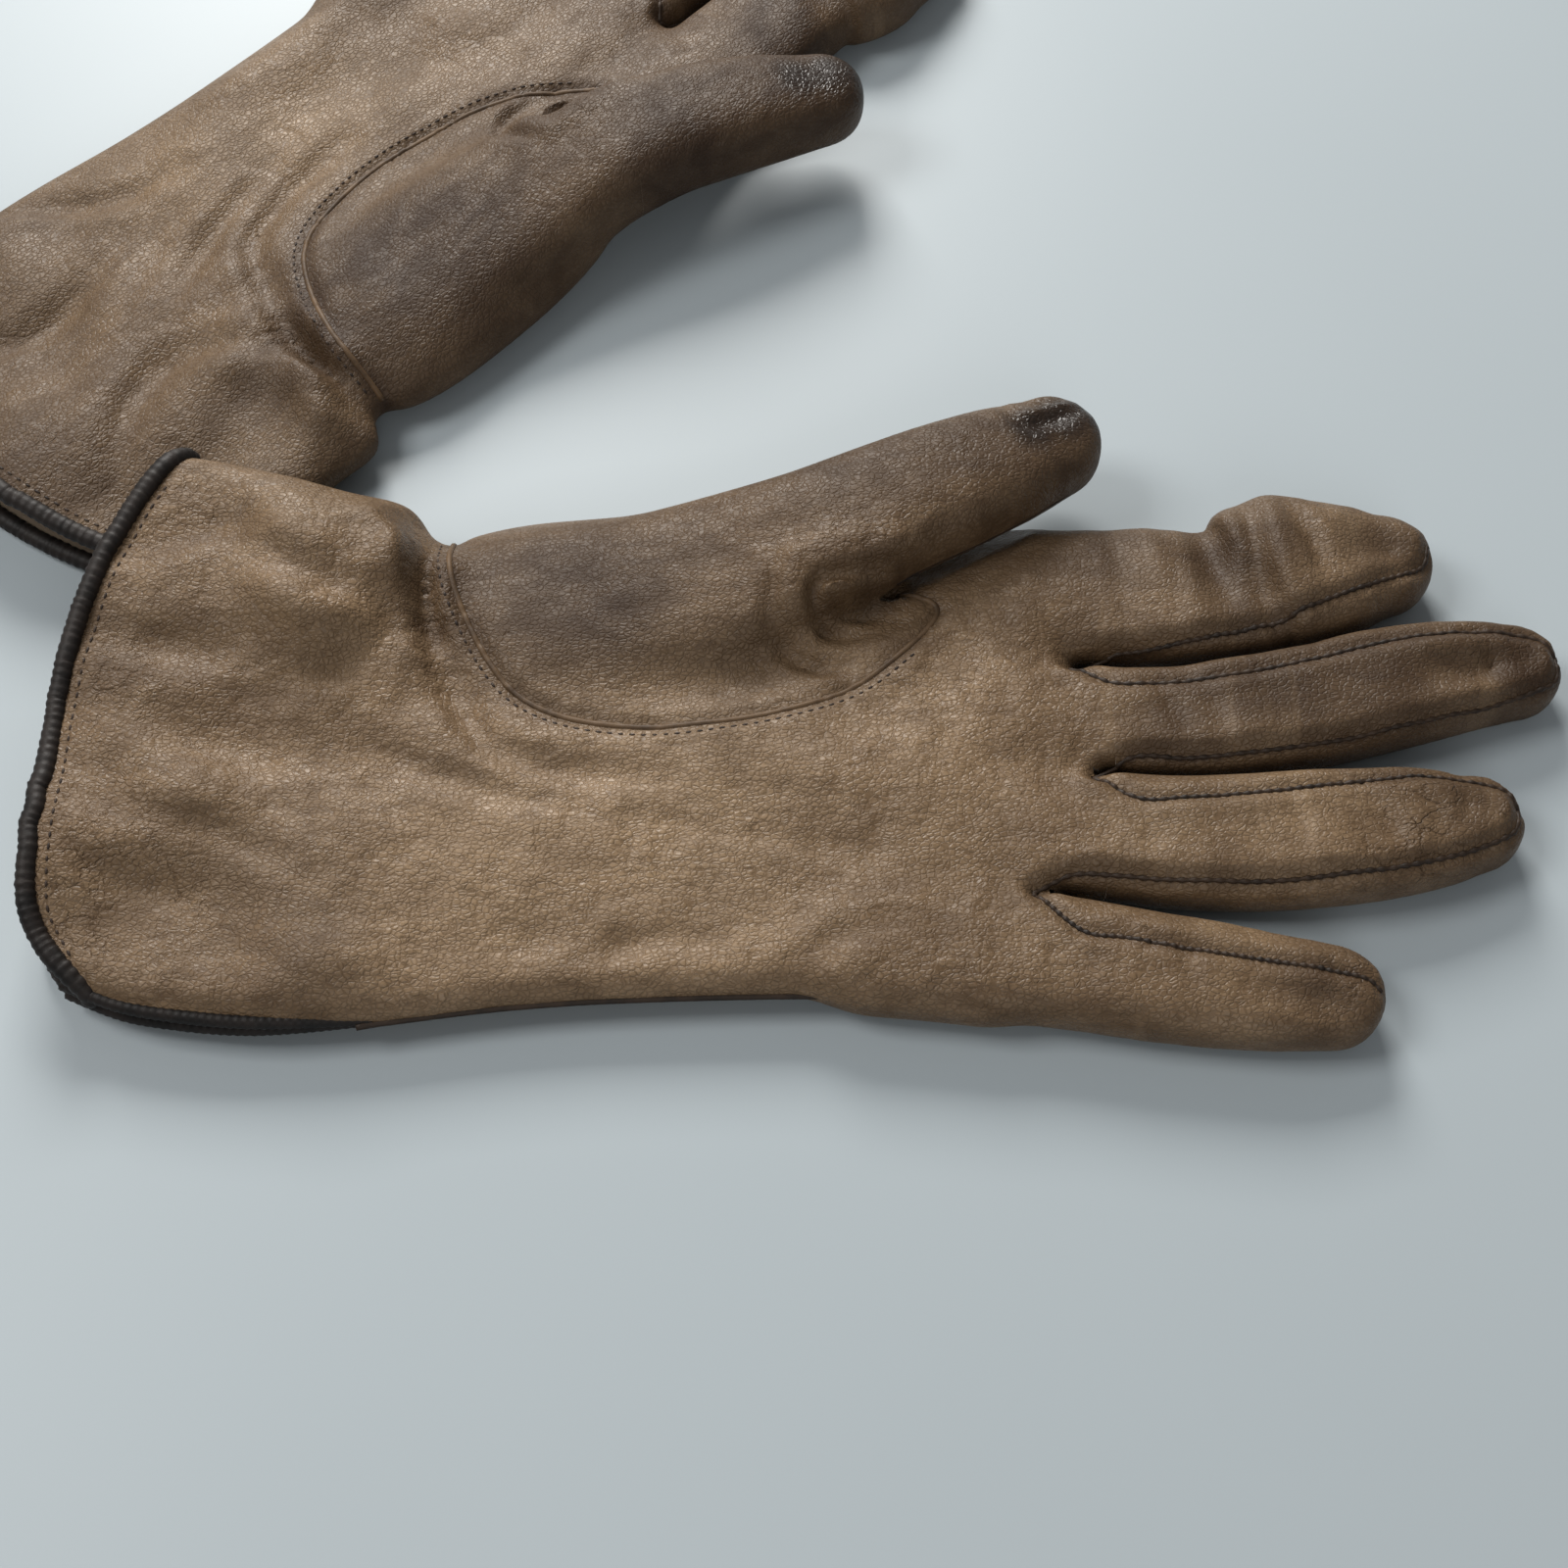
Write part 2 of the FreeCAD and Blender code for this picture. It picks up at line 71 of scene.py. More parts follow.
TABLE = 0.25               # height of the leather's underside above the table, mm
THREAD_THICK = 0.42        # thickness of a stitch, mm
STITCH_SHARE = 0.62        # a stitch's length as a share of the pitch
OVAL_PITCH = 1.5           # pitch of the stitches beside the thumb's oval, mm
CUFF_PITCH = 1.6           # and beside the cuff's binding
CUFF_ROW_INSET = 3.4       # how far the cuff's stitches lie from its edge, mm
CUFF_END = -98.0           # where the cuff ends before its edge is curved, mm
RIGHT_DIRT_AND_SHADE = 0.5        # how much of the left glove's dark spots, dirt and painted shade, the right one has
RIGHT_DARKER = 0.50        # and how much darker it is all over
# two corners of the box of grid points that the leather is worked out on, mm
LOW = np.array([-98.4, -46.4, -1.6])
HIGH = np.array([112.0, 66.0, 29.0])


class Side(Enum):
    """Which hand a glove is for."""

    LEFT = "left"
    RIGHT = "right"


class Mark(Enum):
    """What a line drawn on the leather does to its surface."""

    GROOVE = "groove"
    RIDGE = "ridge"
    SEAM = "seam"


def smoothstep(low: float, high: float, value: np.ndarray) -> np.ndarray:
    """Rise smoothly from 0 at low to 1 at high."""
    share = np.clip((value - low) / (high - low), 0.0, 1.0)
    return share * share * (3.0 - 2.0 * share)


def smooth_min(first: np.ndarray, second: np.ndarray, reach: np.ndarray | float) -> np.ndarray:
    """Join two fields with a fillet.

    Args:
        first: A field, negative inside.
        second: The other field.
        reach: The fillet's size, in the fields' unit.

    Returns:
        The joined field.
    """
    mix = np.clip(reach - np.abs(first - second), 0.0, None) / reach
    return np.minimum(first, second) - mix * mix * reach * 0.25


def curve_through(points: list | tuple, count: int) -> np.ndarray:
    """Sample a smooth curve through points, evenly by its length.

    Args:
        points: The points, each a tuple of numbers, of which the first two or three are its place.
        count: How many samples to take.

    Returns:
        One row of numbers for each sample.
    """
    data = np.array(points, float)
    padded = np.vstack([2 * data[0] - data[1], data, 2 * data[-1] - data[-2]])
    share = np.linspace(0.0, 1.0, 24, endpoint=False)[:, None]
    rows = []
    for a, b, c, d in zip(padded, padded[1:], padded[2:], padded[3:]):
        rows.append(0.5 * (2 * b + (c - a) * share + (2 * a - 5 * b + 4 * c - d) * share ** 2
                           + (3 * b - a - 3 * c + d) * share ** 3))
    dense = np.vstack(rows + [data[-1:]])
    along = np.concatenate([[0.0], np.cumsum(np.linalg.norm(np.diff(dense[:, :2], axis=0), axis=1))])
    wanted = np.linspace(0.0, along[-1], count)
    return np.stack([np.interp(wanted, along, column) for column in dense.T], axis=1)


def ripples(x: np.ndarray, y: np.ndarray, seed: int, count: int, scale: float,
            stretch: float, heading: float) -> np.ndarray:
    """Add many long waves of unlike direction and size into uneven wrinkles.

    Args:
        x: Places along X, mm.
        y: Places along Y, mm.
        seed: Fixes the waves.
        count: How many waves.
        scale: The shortest wave's length, mm.
        stretch: How much the waves keep to one direction, from 0.
        heading: That direction, in degrees: the waves run across it.

    Returns:
        Heights of about -1 to 1.
    """
    random = np.random.default_rng(seed)
    total = np.zeros_like(x)
    for _ in range(count):
        angle = math.radians(heading) + random.normal(0.0, 1.0 / (1.0 + stretch))
        length = scale * random.uniform(1.0, 3.2)
        bend = random.uniform(0.2, 0.9) * np.sin((x * -math.sin(angle) + y * math.cos(angle))
                                                 / (length * random.uniform(1.5, 4.0))
                                                 + random.uniform(0, 6.3))
        total += np.sin((x * math.cos(angle) + y * math.sin(angle)) * 2 * math.pi / length
                        + 2.0 * bend + random.uniform(0, 6.3)) * length / scale
    return total / (1.6 * math.sqrt(count))


def nearest_row(rows: np.ndarray, x: np.ndarray, y: np.ndarray) -> tuple:
    """Find the row of a sampled line that is nearest to each place, and its distance, mm."""
    reach = (x[..., None] - rows[:, 0]) ** 2 + (y[..., None] - rows[:, 1]) ** 2
    nearest = reach.argmin(axis=-1)
    return nearest, np.sqrt(np.take_along_axis(reach, nearest[..., None], -1)[..., 0])


def spots(places: tuple, x: np.ndarray, y: np.ndarray, power: int = 2) -> np.ndarray:
    """Give the strongest of several soft round spots at each place, 0 to 1.

    Args:
        places: The spots, each its x, y, reach and strength.
        x: Places along X, mm.
        y: Places along Y, mm.
        power: How sharply a spot ends.

    Returns:
        The strength at each place.
    """
    total = np.zeros(len(x))
    for cx, cy, reach, much in places:
        total = np.maximum(total, much * np.exp(-(np.hypot(x - cx, y - cy) / reach) ** power))
    return total


def put(name: str, data: bpy.types.ID) -> bpy.types.Object:
    """Make an object of a mesh, a lamp or a camera in the scene."""
    made = bpy.data.objects.new(name, data)
    bpy.context.collection.objects.link(made)
    return made


@dataclass(frozen=True)
class Tube:
    """A finger: a tube along a middle line that carries its half width and half thickness."""

    name: str
    line: tuple            # (x, y, z, half width, half thickness), mm
    fillet: float = 2.2    # how softly it joins the hand, mm

    def sample(self) -> np.ndarray:
        """Sample the middle line evenly."""
        return curve_through(self.line, 90)

    def spread(self, x: np.ndarray, y: np.ndarray) -> tuple:
        """Find what the middle line says at each place of a plan grid.

        Args:
            x: Places along X, mm.
            y: Places along Y, mm.

        Returns:
            The distance to the line and the height, half width and half thickness there.
        """
        rows = self.sample()
        nearest, away = nearest_row(rows, x, y)
        return away, rows[nearest, 2], rows[nearest, 3], rows[nearest, 4]


@dataclass(frozen=True)
class Line:
    """A line on the leather that raises or sinks it."""

    points: tuple
    mark: Mark
    high: float
    wide: float

    def height(self, x: np.ndarray, y: np.ndarray) -> np.ndarray:
        """Give how far the line raises each place of a plan grid, mm."""
        rows = curve_through(self.points, 60)
        nearest, away = nearest_row(rows, x, y)
        share = nearest / (len(rows) - 1.0)
        fade = np.sqrt(np.clip(np.sin(math.pi * np.clip(share, 0.04, 0.96)), 0.0, 1.0))
        if self.mark is Mark.SEAM:
            shape = -np.exp(-(away / self.wide) ** 2) + 0.55 * np.exp(
                -((away - 2.5 * self.wide) / (1.3 * self.wide)) ** 2)
            fade = 1.0
        elif self.mark is Mark.GROOVE:
            shape = -np.exp(-(away / self.wide) ** 2) + 0.45 * np.exp(
                -((away - 2.0 * self.wide) / (0.9 * self.wide)) ** 2)
        else:
            shape = np.exp(-(away / self.wide) ** 2)
        return self.high * shape * fade


FINGERS = (
    Tube("index", ((18, 27.0, 5.0, 10.5, 5.2), (40, 27.0, 5.2, 10.6, 5.4), (54, 27.0, 5.4, 10.6, 5.6),
                   (63, 27.8, 5.6, 10.3, 5.8), (66.5, 29.4, 6.1, 11.7, 6.5),
                   (70.5, 30.5, 6.3, 12.0, 6.6), (75, 31.1, 6.0, 10.9, 6.2), (80, 32.0, 5.7, 9.6, 5.9),
                   (84.5, 32.6, 5.2, 7.4, 5.2))),
    Tube("middle", ((22, 6.0, 5.0, 8.0, 5.2), (43, 6.0, 5.2, 8.1, 5.4), (57, 6.4, 5.3, 8.2, 5.5),
                    (70, 8.6, 5.4, 8.6, 5.7), (84, 12.2, 5.4, 8.6, 5.7),
                    (94, 14.2, 5.0, 7.6, 5.2), (100.5, 14.9, 4.7, 6.6, 4.7))),
    Tube("ring", ((18, -11, 5.0, 8.6, 5.2), (42, -11.2, 5.1, 8.7, 5.3), (52, -12.0, 5.3, 9.1, 5.5),
                  (64, -12.0, 5.4, 9.3, 5.6), (77, -10.9, 5.3, 9.0, 5.5),
                  (86, -9.7, 5.0, 8.0, 5.2), (91.5, -8.9, 4.6, 6.6, 4.7))),
    Tube("little", ((12, -27, 4.8, 8.8, 5.0), (34, -29.0, 4.9, 8.7, 5.1), (48, -31.4, 5.0, 8.4, 5.2),
                    (60, -33.0, 4.8, 7.9, 5.0), (69.5, -34.0, 4.4, 6.8, 4.5))),
    Tube("thumb", ((-30, 22, 6.5, 13.5, 6.6), (-12, 25.6, 9.0, 13.4, 7.2), (3, 30.4, 12.2, 11.4, 7.2),
                   (14, 35.4, 14.0, 10.0, 7.0), (22, 39.4, 14.0, 9.6, 6.8),
                   (30, 43.8, 13.4, 8.8, 6.3), (38, 48.4, 12.2, 7.3, 5.6)), fillet=3.4),
)
# the hand's outline in plan, and the line of the thumb's oval, mm
OUTLINE = ((-104, 44), (-90, 43.6), (-84, 43), (-77, 41.8), (-68.4, 39.9), (-61.5, 39.2), (-55, 39.8),
           (-52, 39.0), (-49.4, 35.6), (-46.8, 35.0), (-44, 37.2), (-38, 38.8), (-25, 39.5),
           (-8, 38.5), (10, 34.5), (24, 34.5), (34, 37.6), (39, 36), (40.5, 27), (39.6, 16),
           (39.4, 10), (42.5, 3), (42.5, -3), (42.2, -9), (38, -16), (33.2, -20.6), (32.4, -28),
           (30, -36.7), (18, -35.2), (5, -34.0), (-19, -34.5), (-35, -35.6), (-50, -37.6),
           (-62, -38.2), (-76, -37.4), (-84, -36.2), (-90, -34), (-104, -31))
OVAL = ((-47, 37), (-45, 23), (-36, 8), (-22, 3), (-4, 4), (11, 10), (21, 21), (16, 25))
INDEX_WEB = (39, 13.5)      # the bottoms of the gaps between the fingers, mm
MIDDLE_WEB = (41, -4)
LITTLE_WEB = (32, -21)
SEAM_START = 5.0            # a seam has turned along its finger this far past the web, mm
TIP_REACH = 0.85            # how far round the tip it goes, as a share of the half width there


@dataclass(frozen=True)
class SeamRun:
    """A seam along one side of a finger, from the web beside it to the middle of its tip."""

    finger: str
    web: tuple
    near: float     # its place across the finger beside the web, as a share of the half width
    far: float      # and the same beside the tip

    def points(self) -> tuple:
        """Work the seam's points out from the finger's tube."""
        tube = next(tube for tube in FINGERS if tube.name == self.finger)
        rows = tube.sample()
        rows = rows[rows[:, 0] > self.web[0] + SEAM_START][::8]
        last = tube.sample()[-1]
        ahead = np.gradient(rows[:, :2], axis=0)
        ahead /= np.linalg.norm(ahead, axis=1)[:, None]
        across = np.column_stack([-ahead[:, 1], ahead[:, 0]])
        share = np.linspace(self.near, self.far, len(rows))[:, None] * rows[:, 3:4]
        side = last[:2] + last[3] * (0.55 * ahead[-1] + 0.7 * self.far * across[-1])
        tip = last[:2] + last[3] * TIP_REACH * ahead[-1]
        return tuple(map(tuple, [self.web, *(rows[:, :2] + share * across), side, tip]))


SEAM_RUNS = (SeamRun("index", INDEX_WEB, -1.0, -0.65), SeamRun("middle", INDEX_WEB, 0.5, 0.55),
             SeamRun("middle", MIDDLE_WEB, -0.85, -0.9), SeamRun("ring", MIDDLE_WEB, 0.4, 0.7),
             SeamRun("ring", LITTLE_WEB, -0.85, -0.75), SeamRun("little", LITTLE_WEB, 0.3, 0.25))
FINGER_SEAMS = {name: tuple(run.points() for run in SEAM_RUNS if run.finger == name)
                for name in ("index", "middle", "ring", "little")}
DIRT_AND_SHADE_SPOTS = (
    # place x, y, reach and how dark it is there: mostly handling dirt, with painted shade in some folds
    (-34, 27, 14, 0.86), (-27, 18, 11, 0.80), (66, 14, 9, 0.30), (-8, 8, 8, 0.30),
    (-14, 29, 11, 0.40), (-5, 13, 9, 0.40),
    # the small spots at (5, 19.5) and (11, 22.5) are painted shade in the fold of the thumb's crotch
    (8, 40, 14, 0.70), (26, 42, 13, 0.78), (38, 50, 8, 0.70), (5, 19.5, 2, 0.45), (11, 22.5, 2.2, 0.40),
    (46, 33, 11, 0.72), (60, 30, 9, 0.92), (70, 35, 7, 0.55), (84, 34, 6, 0.45),
    (50, 6, 9, 0.60), (65, 9, 10, 0.85), (78, 10, 10, 0.78), (90, 13, 9, 0.70), (100, 14, 7, 0.88),
    (88, -10, 9, 0.34), (-22, 22, 9, 0.40),
    (-93, -31, 8, 0.30), (-65, -27, 14, 0.36), (30, 18, 9, 0.16), (20, -33, 14, 0.20),
    (-70, 41, 14, 0.40), (-47, 22, 9, 0.36), (-90, 12, 10, 0.25), (-16, 26, 9, 0.20),
)
# the same four numbers: where it is paler, as painted highlight and rubbed places, where it has cracked
# and where it shines
PALE_SPOTS_AND_HIGHLIGHTS = ((64, -8, 9, 0.40), (56, -26, 7, 0.25), (-62, 12, 9, 0.22), (-12, -14, 20, 0.55),
          (-36, -20, 18, 0.40), (48, -13, 7, 0.45), (20, -10, 14, 0.30),
          (-70, -18, 14, 0.25), (-66, 32, 9, 0.30), (-84, -2, 9, 0.15), (46, 6, 4, 0.15),
          (78, 34, 5, 0.25), (34, -28, 7, 0.20), (54, -37, 5, 0.20))
CRACKED = ((82, -11, 10, 1.0), (-84, -22, 13, 0.8), (-86, 34, 9, 0.6), (72, -34, 6, 0.6),
           (97, 14, 6, 0.6), (-48, 18, 7, 0.7), (8, 24, 9, 0.6), (-88, 8, 8, 0.6), (76, 30, 7, 0.4))
POLISHED = ((34.8, 47.2, 3.8, 0.95), (39.0, 49.6, 4.2, 0.95), (42.8, 51.4, 3.6, 0.90))


@dataclass(frozen=True)
class GloveFrame:
    """Where a glove lies: from its own millimetres to the frame's metres."""

    side: Side
    knuckle: tuple = (41.5, 27.5)      # the index finger's joint in the glove's own frame
    far_knuckle: tuple = (33.5, -29.4)  # the little finger's joint

    def matrix(self) -> Matrix:
        """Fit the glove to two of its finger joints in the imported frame.

        Returns:
            The matrix from the glove's millimetres to the frame's metres.
        """
        joints = {joint["name"]: joint for joint in frame["joints"]}
        here = [Vector(joints[f"{self.side.value}_{name}_curl"]["pos_m"][:2])
                for name in ("index", "little")]
        sign = 1.0 if self.side is Side.LEFT else -1.0
        own = [Vector((x, sign * y)) * MM for x, y in (self.knuckle, self.far_knuckle)]
        turn = math.atan2(*(here[1] - here[0]).yx) - math.atan2(*(own[1] - own[0]).yx)
        rotation = Matrix.Rotation(turn, 4, "Z")
        move = here[0].to_3d() - (rotation @ own[0].to_3d())
        return (Matrix.Translation(move) @ rotation @ Matrix.Diagonal((1, sign, 1, 1))
                @ Matrix.Scale(MM, 4))


@dataclass(frozen=True)
class Knuckle:
    """A joint of the frame, in the glove's own millimetres."""

    place: np.ndarray
    heading: np.ndarray

    def beyond(self, points: np.ndarray) -> np.ndarray:
        """Give how far points lie on the finger's side of the joint, mm."""
        return (points - self.place) @ self.heading


@dataclass
class Leather:
    """The leather of one glove as a field on a grid of points."""

    side: Side
    lift: float                       # how far the cuff's thumb side stands off the table, mm
    seed: int
    lines: tuple = ()
    knuckles: dict = field(default_factory=dict)
    fields: dict = field(default_factory=dict)

    def cuff_curve(self, x: np.ndarray, y: np.ndarray) -> np.ndarray:
        """Give how far the cuff's curved edge pulls each place along X, mm."""
        up = np.clip((y + 2.0) / 44.0, 0.0, 1.2)
        down = np.clip((-22.0 - y) / 14.5, 0.0, 1.2)
        pull = 1.0 + 12.7 * up ** 2.1 + 12.0 * down ** 2.2
        return pull * (1.0 - smoothstep(-98.0, -52.0, x))

    def rise(self, x: np.ndarray, y: np.ndarray) -> np.ndarray:
        """Give the height of the table side's lift where this glove lies on the other, mm."""
        across = np.clip((y + 26.0) / 73.0, 0.0, 1.1)
        return self.lift * across * (1.0 - smoothstep(-70.0, -40.0, x))

    def outline_depth(self, x: np.ndarray, y: np.ndarray) -> np.ndarray:
        """Give the distance from each place to the hand's outline, positive inside, mm."""
        ring = curve_through(OUTLINE, 420)
        start, end = ring, np.roll(ring, -1, axis=0)
        best = np.full(x.shape, 1e9)
        inside = np.zeros(x.shape, bool)
        for (ax, ay), (bx, by) in zip(start, end):
            dx, dy = bx - ax, by - ay
            share = np.clip(((x - ax) * dx + (y - ay) * dy) / (dx * dx + dy * dy + 1e-9), 0, 1)
            best = np.minimum(best, (x - ax - share * dx) ** 2 + (y - ay - share * dy) ** 2)
            crosses = (ay > y) != (by > y)
            if dy:
                inside ^= crosses & (x < (y - ay) / dy * dx + ax)
        return np.where(inside, 1.0, -1.0) * np.sqrt(best)

    def build(self) -> None:
        """Work out the field of the hand and of each finger on the grid."""
        counts = np.ceil((HIGH - LOW) / STEP).astype(int)
        axes = [LOW[i] + STEP * np.arange(counts[i] + 1) for i in range(3)]
        gx, gy = np.meshgrid(axes[0], axes[1], indexing="ij")
        x = gx + self.cuff_curve(gx, gy)
        y = gy
        z = axes[2][None, None, :]
        relief = sum((line.height(x, y) for line in self.lines), np.zeros_like(x))
        palm = 0.80 * ripples(x, y, self.seed, 9, 26.0, 0.4, 70.0)
        palm += 0.24 * ripples(x, y, self.seed + 1, 12, 8.0, 0.8, 80.0)
        cuffward = 1.0 - smoothstep(-72.0, -44.0, x)
        palm += cuffward * 0.95 * ripples(x, y, self.seed + 2, 8, 15.0, 0.6, 60.0)
        depth = self.outline_depth(x, y)
        billow = 1.0 if self.side is Side.LEFT else -0.9
        thick = 4.9 + 0.4 * cuffward + billow * cuffward * smoothstep(5.0, 35.0, y)
        lift = self.rise(x, y)
        rounding = 9.0
        rim = np.clip(rounding - depth, 0.0, None) / rounding
        top = palm + relief * smoothstep(0.0, 3.0, depth)
        height = z - (lift + thick)[..., None]
        upper = np.where(height > 0, height - (top * smoothstep(1.0, 8.0, depth))[..., None], height)
        hand = (np.hypot(rim[..., None], upper / thick[..., None]) - 1.0) * thick[..., None] * 0.9
        floor = (lift + TABLE)[..., None] - z
        self.fields = {"hand": np.maximum(hand, floor), "axes": axes, "x": x, "y": y}
        tubes = {}
        creases = 0.13 * ripples(x, y, self.seed + 5, 12, 5.0, 0.6, 30.0)
        creases += 0.16 * ripples(x, y, self.seed + 6, 10, 9.0, 0.3, 60.0)
        for tube in FINGERS:
            away, middle, half, deep = tube.spread(x, y)
            up = z - middle[..., None]
            shape = relief + creases * smoothstep(40.0, 60.0, x)
            up = np.where(up > 0, up - shape[..., None], up)
            power = 2.9
            flat = ((away / half)[..., None] ** power
                    + (np.abs(up) / deep[..., None]) ** power) ** (1 / power)
            tubes[tube.name] = (flat - 1.0) * deep[..., None] * 0.9
        for tube in FINGERS:
            own = tubes[tube.name]
            for other in FINGERS:
                if other is not tube:
                    own = np.maximum(own, (tubes[tube.name] - tubes[other.name]) / 2 + 0.35)
            limit = TABLE - z if tube.name != "thumb" else np.full(z.shape, -9.0)
            self.fields[tube.name] = np.maximum(own, limit)

    def value_at(self, name: str, points: np.ndarray) -> np.ndarray:
        """Give a finger's field at points beyond the cuff, between the grid's own points."""
        values = self.fields[name]
        place = np.clip((points - LOW) / STEP, 0.0, np.array(values.shape) - 1.001)
        low = place.astype(int)
        share = place - low
        total = np.zeros(len(points))
        for i in (0, 1):
            for j in (0, 1):
                for k in (0, 1):
                    weight = np.abs(1 - i - share[:, 0]) * np.abs(1 - j - share[:, 1])
                    weight *= np.abs(1 - k - share[:, 2])
                    total += weight * values[low[:, 0] + i, low[:, 1] + j, low[:, 2] + k]
        return total

    def joined(self, finger: str | None) -> np.ndarray:
        """Join the hand's field with its fingers' fields for one mesh.

        Args:
            finger: The finger to mesh, or None for the hand.

        Returns:
            The field on the whole grid.
        """
        axes = self.fields["axes"]
        x = self.fields["x"][..., None]
        y = self.fields["y"][..., None]
        hand = self.fields["hand"]
        total = hand
        wanted = [tube for tube in FINGERS if finger in (None, tube.name)]
        for tube in wanted:
            knuckle = self.knuckles[tube.name]
            beyond = ((x - knuckle.place[0]) * knuckle.heading[0]
                      + (y - knuckle.place[1]) * knuckle.heading[1])
            own = self.fields[tube.name]
            reach = 0.4 + (tube.fillet - 0.4) * (1.0 - smoothstep(-9.0, 0.5, beyond))
            if finger is None:
                cleared = np.maximum(total, -own + 0.9)
                total = np.where(beyond > 0.0, np.where(beyond > 1.2, cleared, total), total)
                own = own + 1.6 * np.clip(beyond - 1.2, 0.0, 4.0)
                total = smooth_min(total, own, reach)
            else:
                away = np.clip(beyond - 0.4, 0.0, 6.0)
                total = smooth_min(hand + 3.0 * away, own, reach)
        return total


def net_of(values: np.ndarray, axes: list) -> tuple:
    """Mesh the surface where a field is zero, one vertex for each cell that it crosses.

    Args:
        values: The field on the grid, negative inside.
        axes: The grid's places along each axis.

    Returns:
        The vertices, in grid places, and the quads.
    """
    inside = values < 0
    shape = tuple(n - 1 for n in values.shape)
    total = np.zeros(shape + (3,), np.float32)
    count = np.zeros(shape, np.float32)
    corners = [(i, j, k) for i in (0, 1) for j in (0, 1) for k in (0, 1)]

    def at(array: np.ndarray, corner: tuple) -> np.ndarray:
        """Give the array's value at one corner of every cell."""
        return array[tuple(slice(c, c + n) for c, n in zip(corner, shape))]

    for a in corners:
        for axis in range(3):
            if a[axis]:
                continue
            b = tuple(c + (index == axis) for index, c in enumerate(a))
            first, second = at(values, a), at(values, b)
            crossed = at(inside, a) != at(inside, b)
            share = np.where(crossed, first / np.where(crossed, first - second, 1.0), 0.0)
            for index in range(3):
                total[..., index] += crossed * (a[index] + (share if index == axis else 0.0))
            count += crossed
    cells = np.argwhere(count > 0)
    number = np.full(shape, -1, np.int64)
    number[tuple(cells.T)] = np.arange(len(cells))
    offset = total[tuple(cells.T)] / count[tuple(cells.T)][:, None]
    places = np.stack([axes[i][0] + (cells[:, i] + offset[:, i]) * STEP for i in range(3)], axis=1)
    quads = []
    for axis in range(3):
        second_axis, third_axis = (axis + 1) % 3, (axis + 2) % 3
        low = [slice(None)] * 3
        high = [slice(None)] * 3
        low[axis], high[axis] = slice(0, -1), slice(1, None)
        change = inside[tuple(low)].astype(int) - inside[tuple(high)].astype(int)
        edges = np.argwhere(change != 0)
        keep = (edges[:, second_axis] > 0) & (edges[:, third_axis] > 0)
        keep &= (edges[:, second_axis] < shape[second_axis]) & (edges[:, third_axis] < shape[third_axis])
        edges = edges[keep]
        sign = change[tuple(edges.T)]
        ring = []
        for back, side in ((0, 0), (1, 0), (1, 1), (0, 1)):
            cell = edges.copy()
            cell[:, second_axis] -= back
            cell[:, third_axis] -= side
            ring.append(number[tuple(cell.T)])
        ring = np.stack(ring, axis=1)
        ring[sign < 0] = ring[sign < 0][:, ::-1]
        quads.append(ring)
    faces = np.vstack(quads)
    return places, faces[(faces >= 0).all(axis=1)]


def mesh_of(name: str, places: np.ndarray, faces: np.ndarray) -> bmesh.types.BMesh:
    """Make a bmesh from arrays of vertices and faces."""
    mesh = bpy.data.meshes.new(name)
    mesh.from_pydata(places.tolist(), [], faces.tolist())
    shape = bmesh.new()
    shape.from_mesh(mesh)
    bpy.data.meshes.remove(mesh)
    loose = [vert for vert in shape.verts if not vert.link_faces]
    bmesh.ops.delete(shape, geom=loose, context="VERTS")
    return shape


def keep_largest(shape: bmesh.types.BMesh) -> None:
    """Delete every separate part of a mesh except the one with most faces."""
    left = set(shape.faces)
    groups = []
    while left:
        stack = [left.pop()]
        group = []
        while stack:
            face = stack.pop()
            group.append(face)
            for edge in face.edges:
                for near in edge.link_faces:
                    if near in left:
                        left.discard(near)
                        stack.append(near)
        groups.append(group)
    groups.sort(key=len)
    for group in groups[:-1]:
        bmesh.ops.delete(shape, geom=group, context="FACES")


def sweep(path: np.ndarray, radii: tuple, around: int, closed: bool,
          swell: np.ndarray | None = None, up: np.ndarray | None = None) -> tuple:
    """Sweep an oval along a path.

    Args:
        path: The path's points, mm.
        radii: The oval's half sizes across the path and along up.
        around: How many points the oval has.
        closed: Whether the path's end joins its start.
        swell: A factor on the oval's size at each point.
        up: The direction that the oval's second size follows at each point.

    Returns:
        The vertices and faces.
    """
    count = len(path)
    ahead = np.roll(path, -1, axis=0) - np.roll(path, 1, axis=0)
    if not closed:
        ahead[0], ahead[-1] = path[1] - path[0], path[-1] - path[-2]
    ahead /= np.linalg.norm(ahead, axis=1)[:, None] + 1e-9
    up = np.tile([0.0, 0.0, 1.0], (count, 1)) if up is None else up
    across = np.cross(ahead, up)
    across /= np.linalg.norm(across, axis=1)[:, None] + 1e-9
    over = np.cross(across, ahead)
    swell = np.ones(count) if swell is None else swell
    angle = np.linspace(0, 2 * math.pi, around, endpoint=False)
    rings = (path[:, None] + swell[:, None, None] * (
        radii[0] * np.cos(angle)[None, :, None] * across[:, None]
        + radii[1] * np.sin(angle)[None, :, None] * over[:, None]))
    verts = rings.reshape(-1, 3)
    faces = []
    for i in range(count if closed else count - 1):
        here, there = i * around, (i + 1) % count * around
        for j in range(around):
            k = (j + 1) % around
            faces.append((here + j, here + k, there + k, there + j))
    if not closed:
        faces.append(tuple(range(around))[::-1])
        faces.append(tuple(range((count - 1) * around, count * around)))
    return verts, faces


